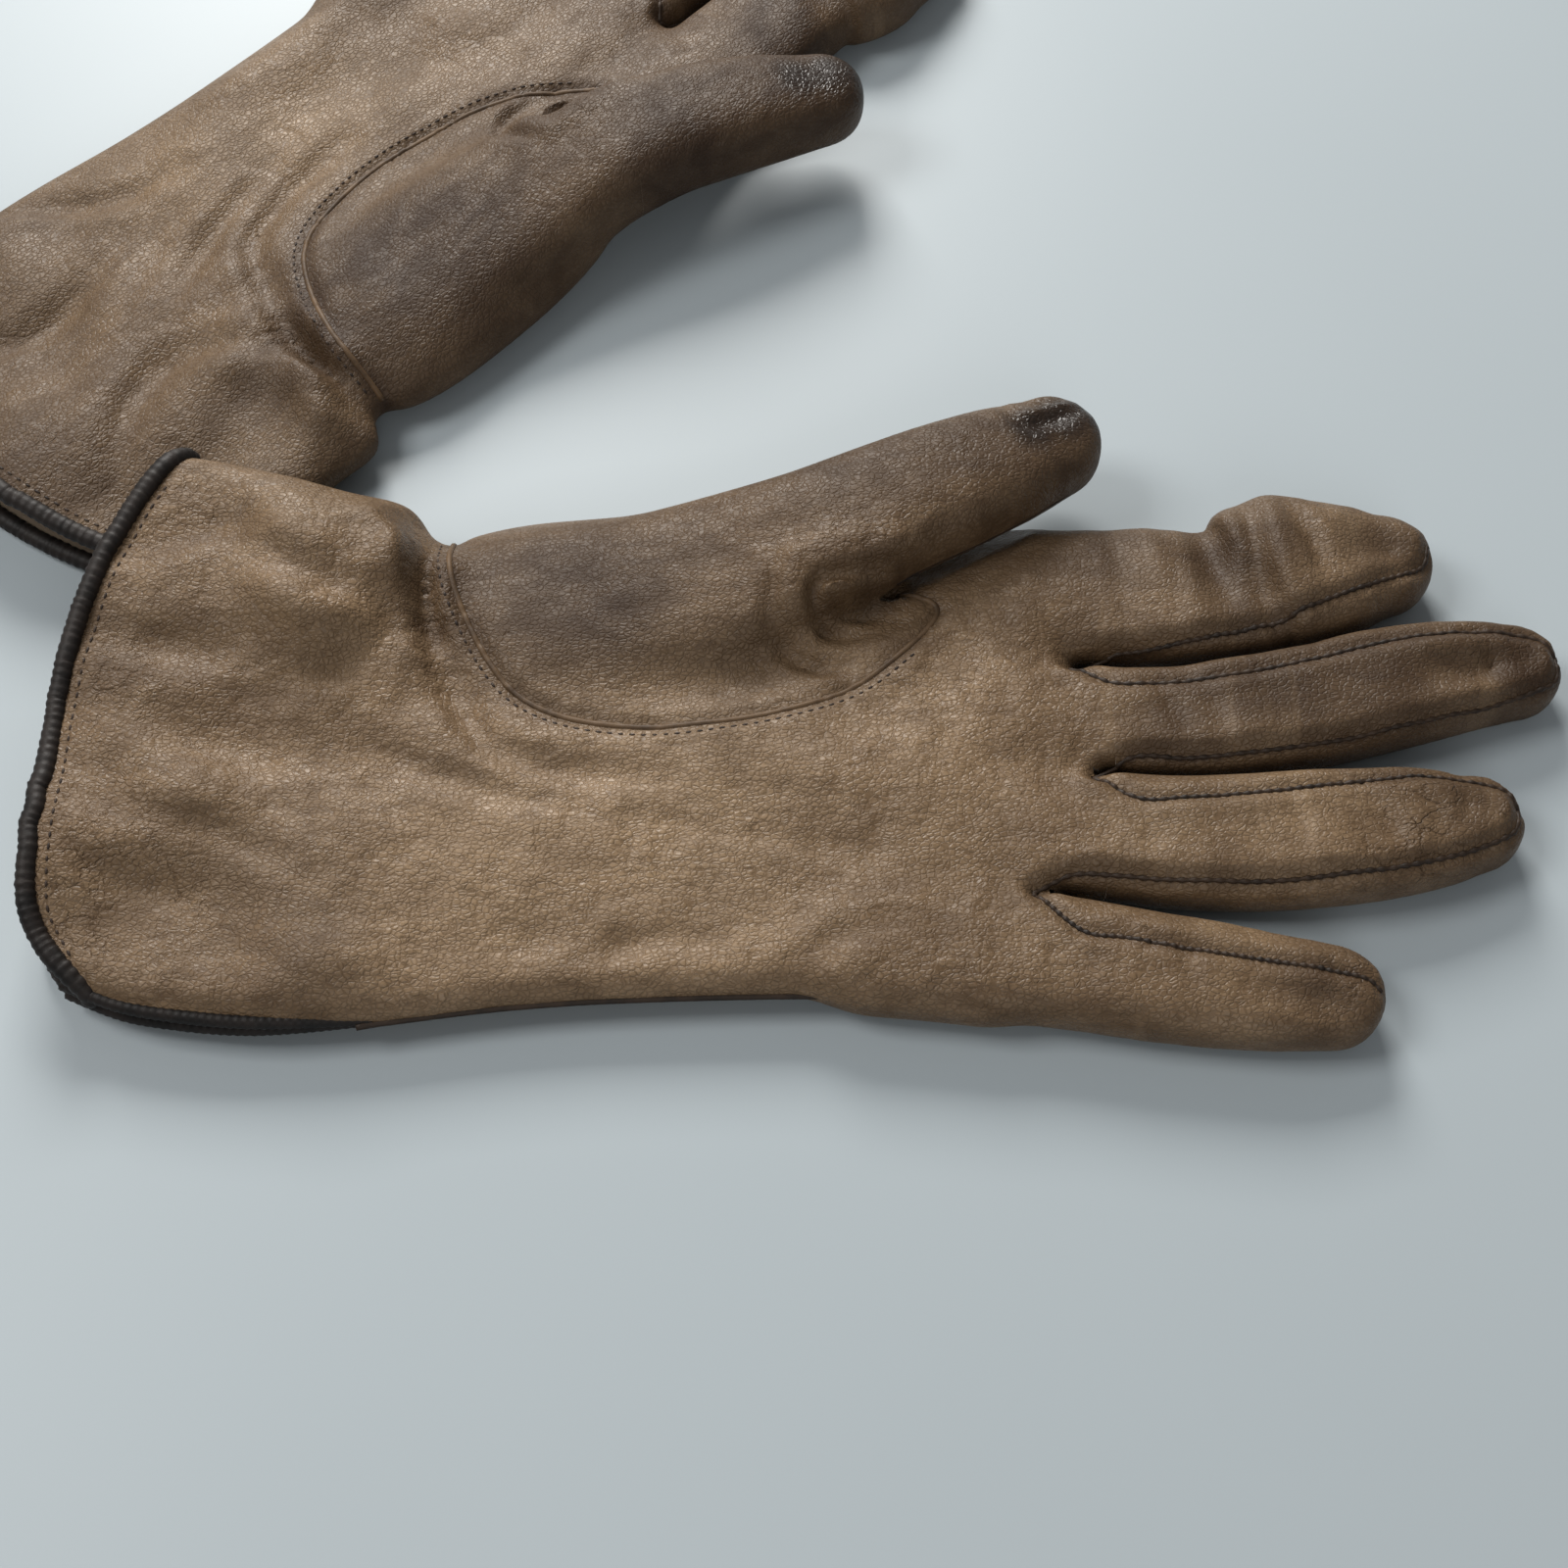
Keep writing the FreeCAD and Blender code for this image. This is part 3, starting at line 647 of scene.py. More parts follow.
class Value:
    """A socket's value in a shader tree, with Python's operators for its Math nodes."""

    def __init__(self, tree: "Shader", socket: bpy.types.NodeSocket) -> None:
        """Wrap a socket of a tree."""
        self.tree = tree
        self.socket = socket

    def _math(self, operation: str, first: object, second: object) -> "Value":
        """Add a Math node on two values."""
        return self.tree.node("ShaderNodeMath", {"operation": operation}, {0: first, 1: second})

    def __add__(self, other: object) -> "Value":
        """Add."""
        return self._math("ADD", self, other)

    __radd__ = __add__

    def __mul__(self, other: object) -> "Value":
        """Multiply."""
        return self._math("MULTIPLY", self, other)

    __rmul__ = __mul__

    def __sub__(self, other: object) -> "Value":
        """Subtract."""
        return self._math("SUBTRACT", self, other)

    def __rsub__(self, other: object) -> "Value":
        """Subtract from."""
        return self._math("SUBTRACT", other, self)


class Shader:
    """A material's node tree, built by method calls and expressions."""

    def __init__(self, name: str) -> None:
        """Start an empty material of that name."""
        self.material = bpy.data.materials.new(name)
        self.material.use_nodes = True
        self.nodes = self.material.node_tree.nodes
        self.links = self.material.node_tree.links
        self.nodes.clear()

    def node(self, kind: str, settings: dict | None = None, inputs: dict | None = None,
             output: int | str = 0) -> Value:
        """Add a node.

        Args:
            kind: The node's type.
            settings: Its properties, set first.
            inputs: Values or links for its sockets, by number or name.
            output: The output to return.

        Returns:
            That output, wrapped.
        """
        made = self.nodes.new(kind)
        for name, value in (settings or {}).items():
            setattr(made, name, value)
        for name, value in (inputs or {}).items():
            if isinstance(value, Value):
                self.links.new(value.socket, made.inputs[name])
            else:
                made.inputs[name].default_value = value
        return Value(self, made.outputs[output])

    def mix(self, factor: object, first: object, second: object) -> Value:
        """Mix two colours by a factor."""
        made = self.nodes.new("ShaderNodeMix")
        made.data_type = "RGBA"
        made.clamp_factor = True
        for index, value in ((0, factor), (6, first), (7, second)):
            if isinstance(value, Value):
                self.links.new(value.socket, made.inputs[index])
            else:
                made.inputs[index].default_value = value
        return Value(self, made.outputs[2])

    def noise(self, place: Value, scale: float, detail: float = 3.0, rough: float = 0.55,
              twist: float = 0.0) -> Value:
        """Add a noise texture and return its value."""
        return self.node("ShaderNodeTexNoise", {"noise_dimensions": "3D"},
                         {"Vector": place, "Scale": scale, "Detail": detail, "Roughness": rough,
                          "Distortion": twist})

    def span(self, value: Value, low: float, high: float) -> Value:
        """Stretch a value's range from low..high to 0..1, smoothly."""
        return self.node("ShaderNodeMapRange", {"interpolation_type": "SMOOTHSTEP"},
                         {"Value": value, "From Min": low, "From Max": high})

    def attribute(self, name: str) -> Value:
        """Read a mesh attribute's number."""
        return self.node("ShaderNodeAttribute", {"attribute_name": name}, {}, "Fac")

    def place(self) -> Value:
        """Give Object coordinates."""
        return self.node("ShaderNodeTexCoord", {}, {}, "Object")

    def bump(self, height: Value, strength: float, distance: float,
             under: Value | None = None) -> Value:
        """Add a bump node over another one."""
        inputs = {"Strength": strength, "Distance": distance, "Height": height}
        if under is not None:
            inputs["Normal"] = under
        return self.node("ShaderNodeBump", {}, inputs)

    def finish(self, constants: dict, varying: dict) -> bpy.types.Material:
        """End the tree in one surface shader.

        Args:
            constants: Plain values of its sockets.
            varying: Linked sockets.

        Returns:
            The material.
        """
        surface = self.node("ShaderNodeBsdfPrincipled", {}, {**constants, **varying})
        end = self.nodes.new("ShaderNodeOutputMaterial")
        self.links.new(surface.socket, end.inputs["Surface"])
        return self.material


@dataclass(frozen=True)
class GloveLeather:
    """Soft taupe glove leather: pebbled grain, stretch creases, mottling, dark handled places with
    painted shade, and painted highlights.
    """

    name: str = "glove_leather"
    light: tuple = (0.240, 0.161, 0.094, 1.0)
    dark: tuple = (0.084, 0.048, 0.022, 1.0)
    # dark colour of handling dirt and of painted shade
    soiled_and_shaded: tuple = (0.027, 0.0125, 0.0046, 1.0)
    pale: tuple = (0.300, 0.205, 0.118, 1.0)
    polished: tuple = (0.017, 0.011, 0.008, 1.0)

    def build(self) -> bpy.types.Material:
        """Build the material."""
        tree = Shader(self.name)
        own = tree.node("ShaderNodeAttribute", {"attribute_name": "own_place"}, {}, "Vector")

        def place(*scale: float) -> Value:
            """Stretch the leather's own coordinates."""
            return tree.node("ShaderNodeMapping", {}, {"Vector": own, "Scale": scale})

        reach = tree.node("ShaderNodeSeparateXYZ", {}, {"Vector": own}, "X")
        fingers = tree.span(reach, 0.034, 0.05)
        clouds = tree.span(tree.noise(own, 30.0, 3.0), 0.32, 0.68)
        mottle = tree.span(tree.noise(place(0.6, 1.2, 1.0), 170.0, 5.0, 0.62, 0.4), 0.36, 0.70)
        streaks = tree.span(tree.noise(place(0.3, 1.6, 1.0), 300.0, 4.0, 0.6, 0.8), 0.48, 0.72)
        bands = tree.span(tree.noise(place(1.5, 0.22, 0.4), 130.0, 3.0, 0.5, 0.5), 0.56, 0.72)
        wear = tree.attribute("wear")
        polish = tree.attribute("polish")
        seam = tree.attribute("seam")
        base = tree.mix(clouds * 0.46 + mottle * 0.46, self.light, self.dark)
        base = tree.mix(streaks * 0.34, base, self.dark)
        warp = tree.node("ShaderNodeTexNoise", {}, {"Vector": own, "Scale": 700.0, "Detail": 2.0},
                         "Color")

        def cells(places: Value, shift: float, scale: float, edge: float) -> Value:
            """Give 0 on the edges of warped cells and 1 away from them."""
            push = tree.node("ShaderNodeVectorMath", {"operation": "SCALE"}, {0: warp, "Scale": shift})
            moved = tree.node("ShaderNodeVectorMath", {"operation": "ADD"}, {0: places, 1: push})
            return tree.span(tree.node("ShaderNodeTexVoronoi", {"feature": "DISTANCE_TO_EDGE"},
                                       {"Vector": moved, "Scale": scale}), 0.0, edge)

        grain = cells(place(0.85, 1.2, 1.0), 0.0008, 1350.0, 0.24)
        smooth = 1.0 - tree.span(wear, 0.10, 0.75) * 0.60 - fingers * 0.30
        wrinkles = (tree.noise(place(0.60, 1.25, 1.0), 560.0, 2.5, 0.5, 0.35) - 0.5) * smooth
        puckers = (tree.noise(place(1.0, 0.70, 1.0), 190.0, 3.0, 0.5, 0.5) - 0.5) * smooth
        cracks = cells(place(0.8, 1.1, 1.0), 0.0022, 310.0, 0.085)
        cracked = tree.attribute("cracked") * tree.span(tree.noise(own, 160.0, 2.0), 0.36, 0.56)
        lines = (1.0 - cracks) * cracked
        # painted shade: the base darkens along the grain's cell edges and in the creases' valleys; the
        # crack lines are the leather's own dark lines
        creased = tree.span(wrinkles * -1.0, 0.0, 0.14)
        base = tree.mix((1.0 - grain) * 0.40 + lines * 0.60 + creased * 0.30, base, self.dark)
        # dirt and painted shade: the darkness attribute, handling dirt with painted shade in the thumb
        # crotch's fold and the low parts by the table, mixes in this dark colour
        base = tree.mix(wear * (0.86 + 0.14 * mottle), base, self.soiled_and_shaded)
        base = tree.mix(bands * (0.06 + 0.16 * fingers) * (1.0 - wear * 0.7), base, self.pale)
        # painted highlight: the pale spots stand in for the lamps' sheen on the palm and the ring
        # finger's base, with some rubbed pale places
        base = tree.mix(tree.attribute("pale") * (0.35 + 0.4 * grain), base, self.pale)
        base = tree.mix(polish, base, self.polished)
        pucker = tree.noise(own, 760.0, 2.0, 0.5) * (1.0 - tree.span(seam, 0.4, 3.0))
        rough = 0.45 + 0.10 * wear + 0.14 * (mottle - 0.5) - 0.26 * polish
        wide = tree.bump(puckers, 0.60, 0.00150)
        coarse = tree.bump(wrinkles + pucker * 0.6, 0.48, 0.00060, wide)
        cracked_bump = tree.bump(lines * -1.0, 0.60, 0.00030, coarse)
        fine = tree.bump(grain, 0.50, 0.00016, cracked_bump)
        return tree.finish({"Specular IOR Level": 0.27},
                           {"Base Color": base, "Roughness": rough, "Normal": fine})


@dataclass(frozen=True)
class FleshSide:
    """The leather's soft, matt inner side."""

    name: str = "flesh_side"

    def build(self) -> bpy.types.Material:
        """Build the material."""
        tree = Shader(self.name)
        place = tree.place()
        fuzz = tree.noise(place, 900.0, 5.0, 0.7)
        base = tree.mix(tree.noise(place, 60.0, 3.0), (0.30, 0.235, 0.170, 1.0),
                        (0.20, 0.150, 0.105, 1.0))
        return tree.finish({"Specular IOR Level": 0.2, "Sheen Weight": 0.2},
                           {"Base Color": base, "Roughness": 0.85 + 0.1 * (fuzz - 0.5),
                            "Normal": tree.bump(fuzz, 0.4, 0.0003)})


@dataclass(frozen=True)
class DarkEdge:
    """Dark folded leather of the binding, the seams and the welt, and the thread beside them."""

    name: str
    light: tuple
    dark: tuple

    def build(self) -> bpy.types.Material:
        """Build the material."""
        tree = Shader(self.name)
        place = tree.place()
        patches = tree.span(tree.noise(place, 240.0, 4.0, 0.6), 0.35, 0.7)
        grain = tree.noise(place, 1500.0, 3.0, 0.6)
        return tree.finish({"Specular IOR Level": 0.27},
                           {"Base Color": tree.mix(patches, self.light, self.dark),
                            "Roughness": 0.56 + 0.2 * (grain - 0.5),
                            "Normal": tree.bump(grain, 0.35, 0.00015)})


def stitch_tree() -> bpy.types.NodeTree:
    """Build the node tree that sets stitches along an edge path.

    Returns:
        The tree, with inputs for the pitch, the stitch's length and thickness, and its material.
    """
    tree = bpy.data.node_groups.new("stitch_row", "GeometryNodeTree")
    face = tree.interface
    face.new_socket("Geometry", in_out="INPUT", socket_type="NodeSocketGeometry")
    for name, value in (("Pitch", 0.002), ("Long", 0.0014), ("Thick", 0.0004)):
        face.new_socket(name, in_out="INPUT", socket_type="NodeSocketFloat").default_value = value
    face.new_socket("Material", in_out="INPUT", socket_type="NodeSocketMaterial")
    face.new_socket("Geometry", in_out="OUTPUT", socket_type="NodeSocketGeometry")
    add = tree.nodes.new
    start, end = add("NodeGroupInput"), add("NodeGroupOutput")
    path = add("GeometryNodeMeshToCurve")
    even = add("GeometryNodeResampleCurve")
    even.mode = "LENGTH"
    bead = add("GeometryNodeMeshUVSphere")
    bead.inputs["Segments"].default_value = 8
    bead.inputs["Rings"].default_value = 5
    bead.inputs["Radius"].default_value = 0.5
    size = add("ShaderNodeCombineXYZ")
    tangent = add("GeometryNodeInputTangent")
    align = add("FunctionNodeAlignRotationToVector")
    align.axis = "X"
    wobble = add("FunctionNodeRandomValue")
    wobble.data_type = "FLOAT"
    wobble.inputs[2].default_value = 0.8
    wobble.inputs[3].default_value = 1.12
    wobble.inputs["Seed"].default_value = 7
    longer = add("ShaderNodeMath")
    longer.operation = "MULTIPLY"
    place = add("GeometryNodeInstanceOnPoints")
    real = add("GeometryNodeRealizeInstances")
    dress = add("GeometryNodeSetMaterial")
    for source, output, target, socket in (
            (start, "Geometry", path, 0), (path, 0, even, "Curve"), (start, "Pitch", even, "Length"),
            (start, "Long", longer, 0), (wobble, 1, longer, 1), (longer, 0, size, "X"),
            (start, "Thick", size, "Y"), (start, "Thick", size, "Z"),
            (tangent, 0, align, "Vector"), (even, 0, place, "Points"),
            (bead, "Mesh", place, "Instance"), (align, 0, place, "Rotation"),
            (size, 0, place, "Scale"), (place, 0, real, 0), (real, 0, dress, "Geometry"),
            (start, "Material", dress, "Material"), (dress, 0, end, 0)):
        tree.links.new(source.outputs[output], target.inputs[socket])
    return tree


@dataclass(frozen=True)
class Pair:
    """Two surfaces that a ray meets as one."""

    trees: tuple

    def ray_cast(self, start: Vector, heading: Vector) -> tuple:
        """Give the nearer hit."""
        hits = [tree.ray_cast(start, heading) for tree in self.trees]
        hits = [hit for hit in hits if hit[0] is not None]
        return min(hits, key=lambda hit: hit[3]) if hits else (None,) * 4


@dataclass
class Glove:
    """One glove: its leather, its seams, its bindings and its stitches."""

    side: Side
    lift: float
    seed: int
    lines: tuple
    finishes: dict
    stitches: bpy.types.NodeTree
    pieces: list = field(default_factory=list)
    surfaces: dict = field(default_factory=dict)    # what seams are laid on, by finger or "hand"

    def __post_init__(self) -> None:
        """Fit the glove to its frame."""
        self.matrix = GloveFrame(self.side).matrix()
        self.back = self.matrix.inverted()
        self.knuckles = {}
        for joint in frame["joints"]:
            word = joint["name"].split("_")
            if word[0] != self.side.value or word[-1] != "curl":
                continue
            place = self.back @ Vector(joint["pos_m"])
            axis = Vector(joint["axis"])
            heading = self.back.to_3x3() @ Vector((0, 0, 1)).cross(axis)
            heading.normalize()
            self.knuckles[word[1]] = Knuckle(np.array(place), np.array(heading))
        self.leather = Leather(self.side, self.lift, self.seed, self.lines, self.knuckles)

    def wear(self, points: np.ndarray) -> tuple:
        """Give how far handling dirt, painted shade and painted highlight change the leather at each
        place.

        Args:
            points: Places on the leather, mm.

        Returns:
            Rows of numbers: darkness, from handling dirt and painted shade, and polish, 0 to 1,
            the distance in mm, and paleness, painted highlight and rubbed places, and cracking, 0 to 1.
        """
        x, y, z = points.T
        kept = np.ones(len(points))
        for tube in FINGERS:
            tip = np.array(tube.line[-1][:2])
            kept *= 1.0 - 0.5 * np.exp(-(np.hypot(x - tip[0], y - tip[1]) / 8.0) ** 2)
        seam = np.full(len(points), 99.0)
        for line in [row for rows in FINGER_SEAMS.values() for row in rows] + [OVAL]:
            rows = curve_through(line, 60)
            seam = np.minimum(seam, np.sqrt(
                ((points[:, None, :2] - rows[None, :, :2]) ** 2).sum(-1).min(axis=1)))
        seam = np.where(z > 2.5, seam, seam + 4.0 * (2.5 - z))
        kept *= 1.0 - 0.40 * np.exp(-(seam / 1.1) ** 2)
        kept *= 1.0 - 0.15 * np.exp(-(seam / 4.0) ** 2)
        share, darker = (1.0, 0.0) if self.side is Side.LEFT else (RIGHT_DIRT_AND_SHADE, RIGHT_DARKER)
        for cx, cy, reach, much in DIRT_AND_SHADE_SPOTS:
            kept *= 1.0 - share * much * np.exp(-(np.hypot(x - cx, y - cy) / reach) ** 2)
        polish = spots(POLISHED, x, y, 4)
        dark = 1.0 - kept + 0.07 * ripples(x, y, self.seed + 9, 10, 12.0, 0.2, 0.0)
        # painted shade: the lowest 3 mm of leather, where it curves down to the table, is darker
        dark += 0.16 * np.clip(1.0 - z / 3.0, 0.0, 1.0) + darker
        return (np.clip(dark, 0.0, 1.0), polish * (z > 9.0), seam, spots(PALE_SPOTS_AND_HIGHLIGHTS, x, y),
                spots(CRACKED, x, y))

    def net(self, finger: str | None) -> bmesh.types.BMesh:
        """Mesh the hand or a finger from the leather's field, in the glove's millimetres."""
        values = self.leather.joined(finger)
        axes = self.leather.fields["axes"]
        if finger is not None:
            rows = next(tube for tube in FINGERS if tube.name == finger).sample()
            knuckle = self.knuckles[finger].place
            before, beside, after = 10.0, 19.0, 12.0    # room kept round the finger, mm
            low = (min(knuckle[0], rows[-1, 0]) - before, min(knuckle[1], rows[-1, 1]) - beside)
            high = (max(knuckle[0], rows[-1, 0]) + after, max(knuckle[1], rows[-1, 1]) + beside)
            cuts = [slice(int(np.searchsorted(axes[i], low[i])), int(np.searchsorted(axes[i], high[i])))
                    for i in (0, 1)]
            values = values[cuts[0], cuts[1]]
            axes = [axes[0][cuts[0]], axes[1][cuts[1]], axes[2]]
        places, faces = net_of(values, axes)
        places[:, 0] += self.leather.cuff_curve(places[:, 0], places[:, 1])
        shape = mesh_of("leather", places, faces)
        for _ in range(3):
            bmesh.ops.smooth_vert(shape, verts=shape.verts, factor=0.5, use_axis_x=True,
                                  use_axis_y=True, use_axis_z=True)
        shape.faces.ensure_lookup_table()
        wanted = self.knuckles if finger is None else {finger: self.knuckles[finger]}
        for name, knuckle in wanted.items():
            near = [face for face in shape.faces if abs(
                knuckle.beyond(np.array(face.calc_center_median()))) < 4.0]
            near_verts = {vert for face in near for vert in face.verts}
            near_edges = {edge for face in near for edge in face.edges}
            bmesh.ops.bisect_plane(shape, geom=[*near_verts, *near_edges, *near], dist=0.02,
                                   plane_co=knuckle.place, plane_no=knuckle.heading)
            centres = np.array([face.calc_center_median() for face in shape.faces])
            beyond = knuckle.beyond(centres)
            if finger is None:
                gone = (beyond > 0) & (self.leather.value_at(name, centres) < 0.45)
            else:
                gone = beyond < 0
            faces_gone = [face for face, out in zip(list(shape.faces), gone) if out]
            bmesh.ops.delete(shape, geom=faces_gone, context="FACES")
        keep_largest(shape)
        return shape

    def leather_piece(self, name: str, shape: bmesh.types.BMesh) -> bpy.types.Object:
        """Give an open skin its wall, its finish, and its handled places with their painted shade and
        painted highlights.
        """
        if self.side is Side.RIGHT:
            bmesh.ops.reverse_faces(shape, faces=shape.faces)
        mesh = bpy.data.meshes.new(name)
        shape.to_mesh(mesh)
        points = np.array([vert.co[:] for vert in mesh.vertices])
        for key, values in zip(("wear", "polish", "seam", "pale", "cracked"), self.wear(points)):
            made = mesh.attributes.new(key, "FLOAT", "POINT")
            made.data.foreach_set("value", values.astype(np.float32))
        own = mesh.attributes.new("own_place", "FLOAT_VECTOR", "POINT")
        own.data.foreach_set("vector", (points * MM).astype(np.float32).ravel())
        mesh.transform(self.matrix)
        for key in ("leather", "inside"):
            mesh.materials.append(self.finishes[key])
        piece = put(name, mesh)
        wall = piece.modifiers.new("wall", "SOLIDIFY")
        wall.thickness = WALL * MM
        wall.offset = -1.0
        wall.material_offset = 1
        wall.material_offset_rim = 1
        return self.settle(piece)

    def settle(self, piece: bpy.types.Object) -> bpy.types.Object:
        """Turn a piece and its modifiers into a plain smooth mesh."""
        evaluated = piece.evaluated_get(bpy.context.evaluated_depsgraph_get())
        mesh = bpy.data.meshes.new_from_object(evaluated, preserve_all_data_layers=True,
                                               depsgraph=bpy.context.evaluated_depsgraph_get())
        piece.modifiers.clear()
        piece.data = mesh
        mesh.name = piece.name
        mesh.shade_smooth()
        mesh.set_sharp_from_angle(angle=math.radians(62))
        self.pieces.append(piece)
        return piece

    def plain_piece(self, name: str, parts: list, finish: str) -> bpy.types.Object:
        """Make one smooth piece of several swept parts, given in the glove's millimetres."""
        verts, faces = [], []
        for part_verts, part_faces in parts:
            faces += [tuple(i + len(verts) for i in face) for face in part_faces]
            verts += [tuple(vert) for vert in part_verts]
        mesh = bpy.data.meshes.new(name)
        mesh.from_pydata(verts, [], faces)
        mesh.transform(self.matrix)
        mesh.materials.append(self.finishes[finish])
        shape = bmesh.new()
        shape.from_mesh(mesh)
        bmesh.ops.recalc_face_normals(shape, faces=shape.faces)
        shape.to_mesh(mesh)
        shape.free()
        mesh.shade_smooth()
        piece = put(name, mesh)
        self.pieces.append(piece)
        return piece

    def drape(self, points: list | tuple, count: int, surface: BVHTree | Pair,
              sink: float) -> np.ndarray:
        """Lay a plan path on a surface from above and return its points."""
        rows = curve_through(points, count)
        laid = []
        for x, y in rows[:, :2]:
            hit = surface.ray_cast(Vector((x, y, 60.0)), Vector((0, 0, -1)))
            if hit[0] is not None:
                laid.append((x, y, hit[0].z - sink))
        return np.array(laid)

    def make_leather(self) -> None:
        """Make the hand's and the fingers' leather, and ride the hand's on its body."""
        self.leather.build()
        side = self.side.value
        shape = self.net(None)
        self.surfaces["hand"] = BVHTree.FromBMesh(shape)
        self.mouth = self.mouth_loop(shape)
        hand = self.leather_piece(f"{side}_hand_leather", shape)
        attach(hand, f"{side}_hand")
        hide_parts(f"{side}_hand", f"{side}_thumb_gusset")
        nodes = {"index": ("index_wrap", "index_ulnar_fourchette"),
                 "middle": ("middle_palm_strip", "middle_back_strip", "middle_radial_fourchette",
                            "middle_ulnar_fourchette"),
                 "ring": ("ring_palm_strip", "ring_back_strip", "ring_radial_fourchette",
                          "ring_ulnar_fourchette"),
                 "little": ("little_palm_strip", "little_back_strip", "little_radial_fourchette"),
                 "thumb": ("thumb",)}
        for tube in FINGERS:
            shape = self.net(tube.name)
            self.surfaces[tube.name] = BVHTree.FromBMesh(shape)
            piece = self.leather_piece(f"{side}_{tube.name}_leather", shape)
            self.bend(piece, tube.name)
            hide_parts(*(f"{side}_{node}" for node in nodes[tube.name]))
            LOG.info("%s: %d faces", piece.name, len(piece.data.polygons))

    def bend(self, piece: bpy.types.Object, finger: str) -> None:
        """Bake a piece's placement into its mesh; it does not bend with the finger."""
        knuckle = self.knuckles[finger]
        ends = [self.matrix @ Vector(knuckle.place + reach * knuckle.heading)
                for reach in (0.0, BLEND_REACH)]
        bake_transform(piece)

    def mouth_loop(self, shape: bmesh.types.BMesh) -> np.ndarray:
        """Order the open edge of the cuff into a ring of even points, mm."""
        verts = [vert.co for vert in shape.verts if vert.is_boundary and vert.co.x < -70.0]
        ring = np.array([tuple(place) for place in verts])
        centre = np.array([ring[:, 1].mean(), ring[:, 2].mean()])
        order = np.argsort(np.arctan2((ring[:, 2] - centre[1]) * 6.0, ring[:, 1] - centre[0]))
        ring = ring[order]
        closed = np.vstack([ring, ring[:1]])
        along = np.concatenate([[0], np.cumsum(np.linalg.norm(np.diff(closed, axis=0), axis=1))])
        wanted = np.linspace(0, along[-1], 620, endpoint=False)
        ring = np.stack([np.interp(wanted, along, column) for column in closed.T], axis=1)
        for _ in range(10):
            ring = (np.roll(ring, 1, axis=0) + ring * 2 + np.roll(ring, -1, axis=0)) / 4
        return ring

    def make_binding(self) -> None:
        """Make the gathered strip folded over the cuff's edge and along the side vent."""
        random = np.random.default_rng(self.seed + 3)
        ring = self.mouth + np.array([0.6, 0.0, 0.0])
        ring[:, 2] = np.maximum(ring[:, 2], 1.75)
        wave = np.arange(len(ring)) / len(ring) * 2 * math.pi
        folds = np.sin(wave * 150 + 1.4 * np.sin(wave * 11) + 2.0 * np.sin(wave * 5 + 1))
        swell = 1.0 + 0.05 * folds + 0.02 * random.standard_normal(len(ring))
        parts = [sweep(ring, (1.25, 1.35), 12, True, swell, np.tile([1.0, 0, 0], (len(ring), 1)))]
        vent = [(-91.5, -33.2), (-84, -36.2), (-76.5, -37.6), (-69, -38.3), (-62.5, -38.2),
                (-52, -37.4)]
        rows = curve_through(vent, 150)
        wave = np.linspace(0, 38 * 2 * math.pi, len(rows))
        for height in (3.4, 6.2):
            z = np.full(len(rows), height) + np.linspace(0, 1, len(rows)) ** 3 * (4.8 - height)
            path = np.column_stack([rows[:, 0], rows[:, 1] + 0.5, z])
            parts.append(sweep(path, (1.05, 1.0), 10, False, 1.0 + 0.05 * np.sin(wave + height)))
        side = self.side.value
        piece = self.plain_piece(f"{side}_cuff_binding_strip", parts, "binding")
        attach(piece, f"{side}_hand")
        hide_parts(f"{side}_cuff_binding")

    def make_seams(self) -> None:
        """Make the dark rolled seams of the fingers, the thumb and its oval."""
        side = self.side.value
        for name, rows in {**FINGER_SEAMS, "thumb": ()}.items():
            parts = []
            if not rows:
                parts.append(sweep(self.edge_of(FINGERS[-1]), (SEAM_ROUND, SEAM_ROUND), 8, False))
            for points in rows:
                laid = self.drape(points, 300, self.both(name), 0.05)
                beads = 1.0 + 0.24 * np.sin(np.arange(len(laid)) * 2 * math.pi / 7.0)
                parts.append(sweep(laid, (SEAM_ROUND, SEAM_ROUND), 6, False, beads))
            piece = self.plain_piece(f"{side}_{name}_seam_roll", parts, "seam")
            self.bend(piece, name)
            node = {"thumb": "thumb_seam", "little": "little_outer_seam"}.get(name)
            if node:
                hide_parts(f"{side}_{node}")
        laid = self.drape(OVAL, 220, self.surfaces["hand"], 0.15)
        edge = [(-54.0, -38.2), (-50.0, -37.5), (-35, -35.5), (-19, -34.4), (5, -33.9),
                (18, -35.1), (29, -36.6)]
        rows = curve_through(edge, 160)
        side_path = np.column_stack([rows[:, 0], rows[:, 1], np.full(len(rows), SIDE_SEAM_HEIGHT)])
        roll = sweep(laid, (WELT_ROUND, WELT_ROUND), 10, False)
        piece = self.plain_piece(f"{side}_thumb_oval_roll", [roll], "welt")
        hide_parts(f"{side}_thumb_welt")
        roll = sweep(side_path, (SIDE_SEAM_ROUND, SIDE_SEAM_ROUND), 8, False)
        seam = self.plain_piece(f"{side}_side_seam_roll", [roll], "seam")
        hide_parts(f"{side}_side_seam")
        for made in (piece, seam):
            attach(made, f"{side}_hand")

    def edge_of(self, tube: Tube) -> np.ndarray:
        """Give the path of the seam under a finger's palm-side edge, mm."""
        rows = tube.sample()[52:88]
        ahead = np.gradient(rows[:, :2], axis=0)
        ahead /= np.linalg.norm(ahead, axis=1)[:, None]
        out = np.stack([ahead[:, 1], -ahead[:, 0]], axis=1)
        return np.column_stack([rows[:, :2] + out * (rows[:, 3:4] - 0.35), rows[:, 2] - 1.8])

    def both(self, finger: str) -> Pair:
        """Give a surface to lay a seam on, of the hand and one finger together."""
        return Pair((self.surfaces["hand"], self.surfaces[finger]))

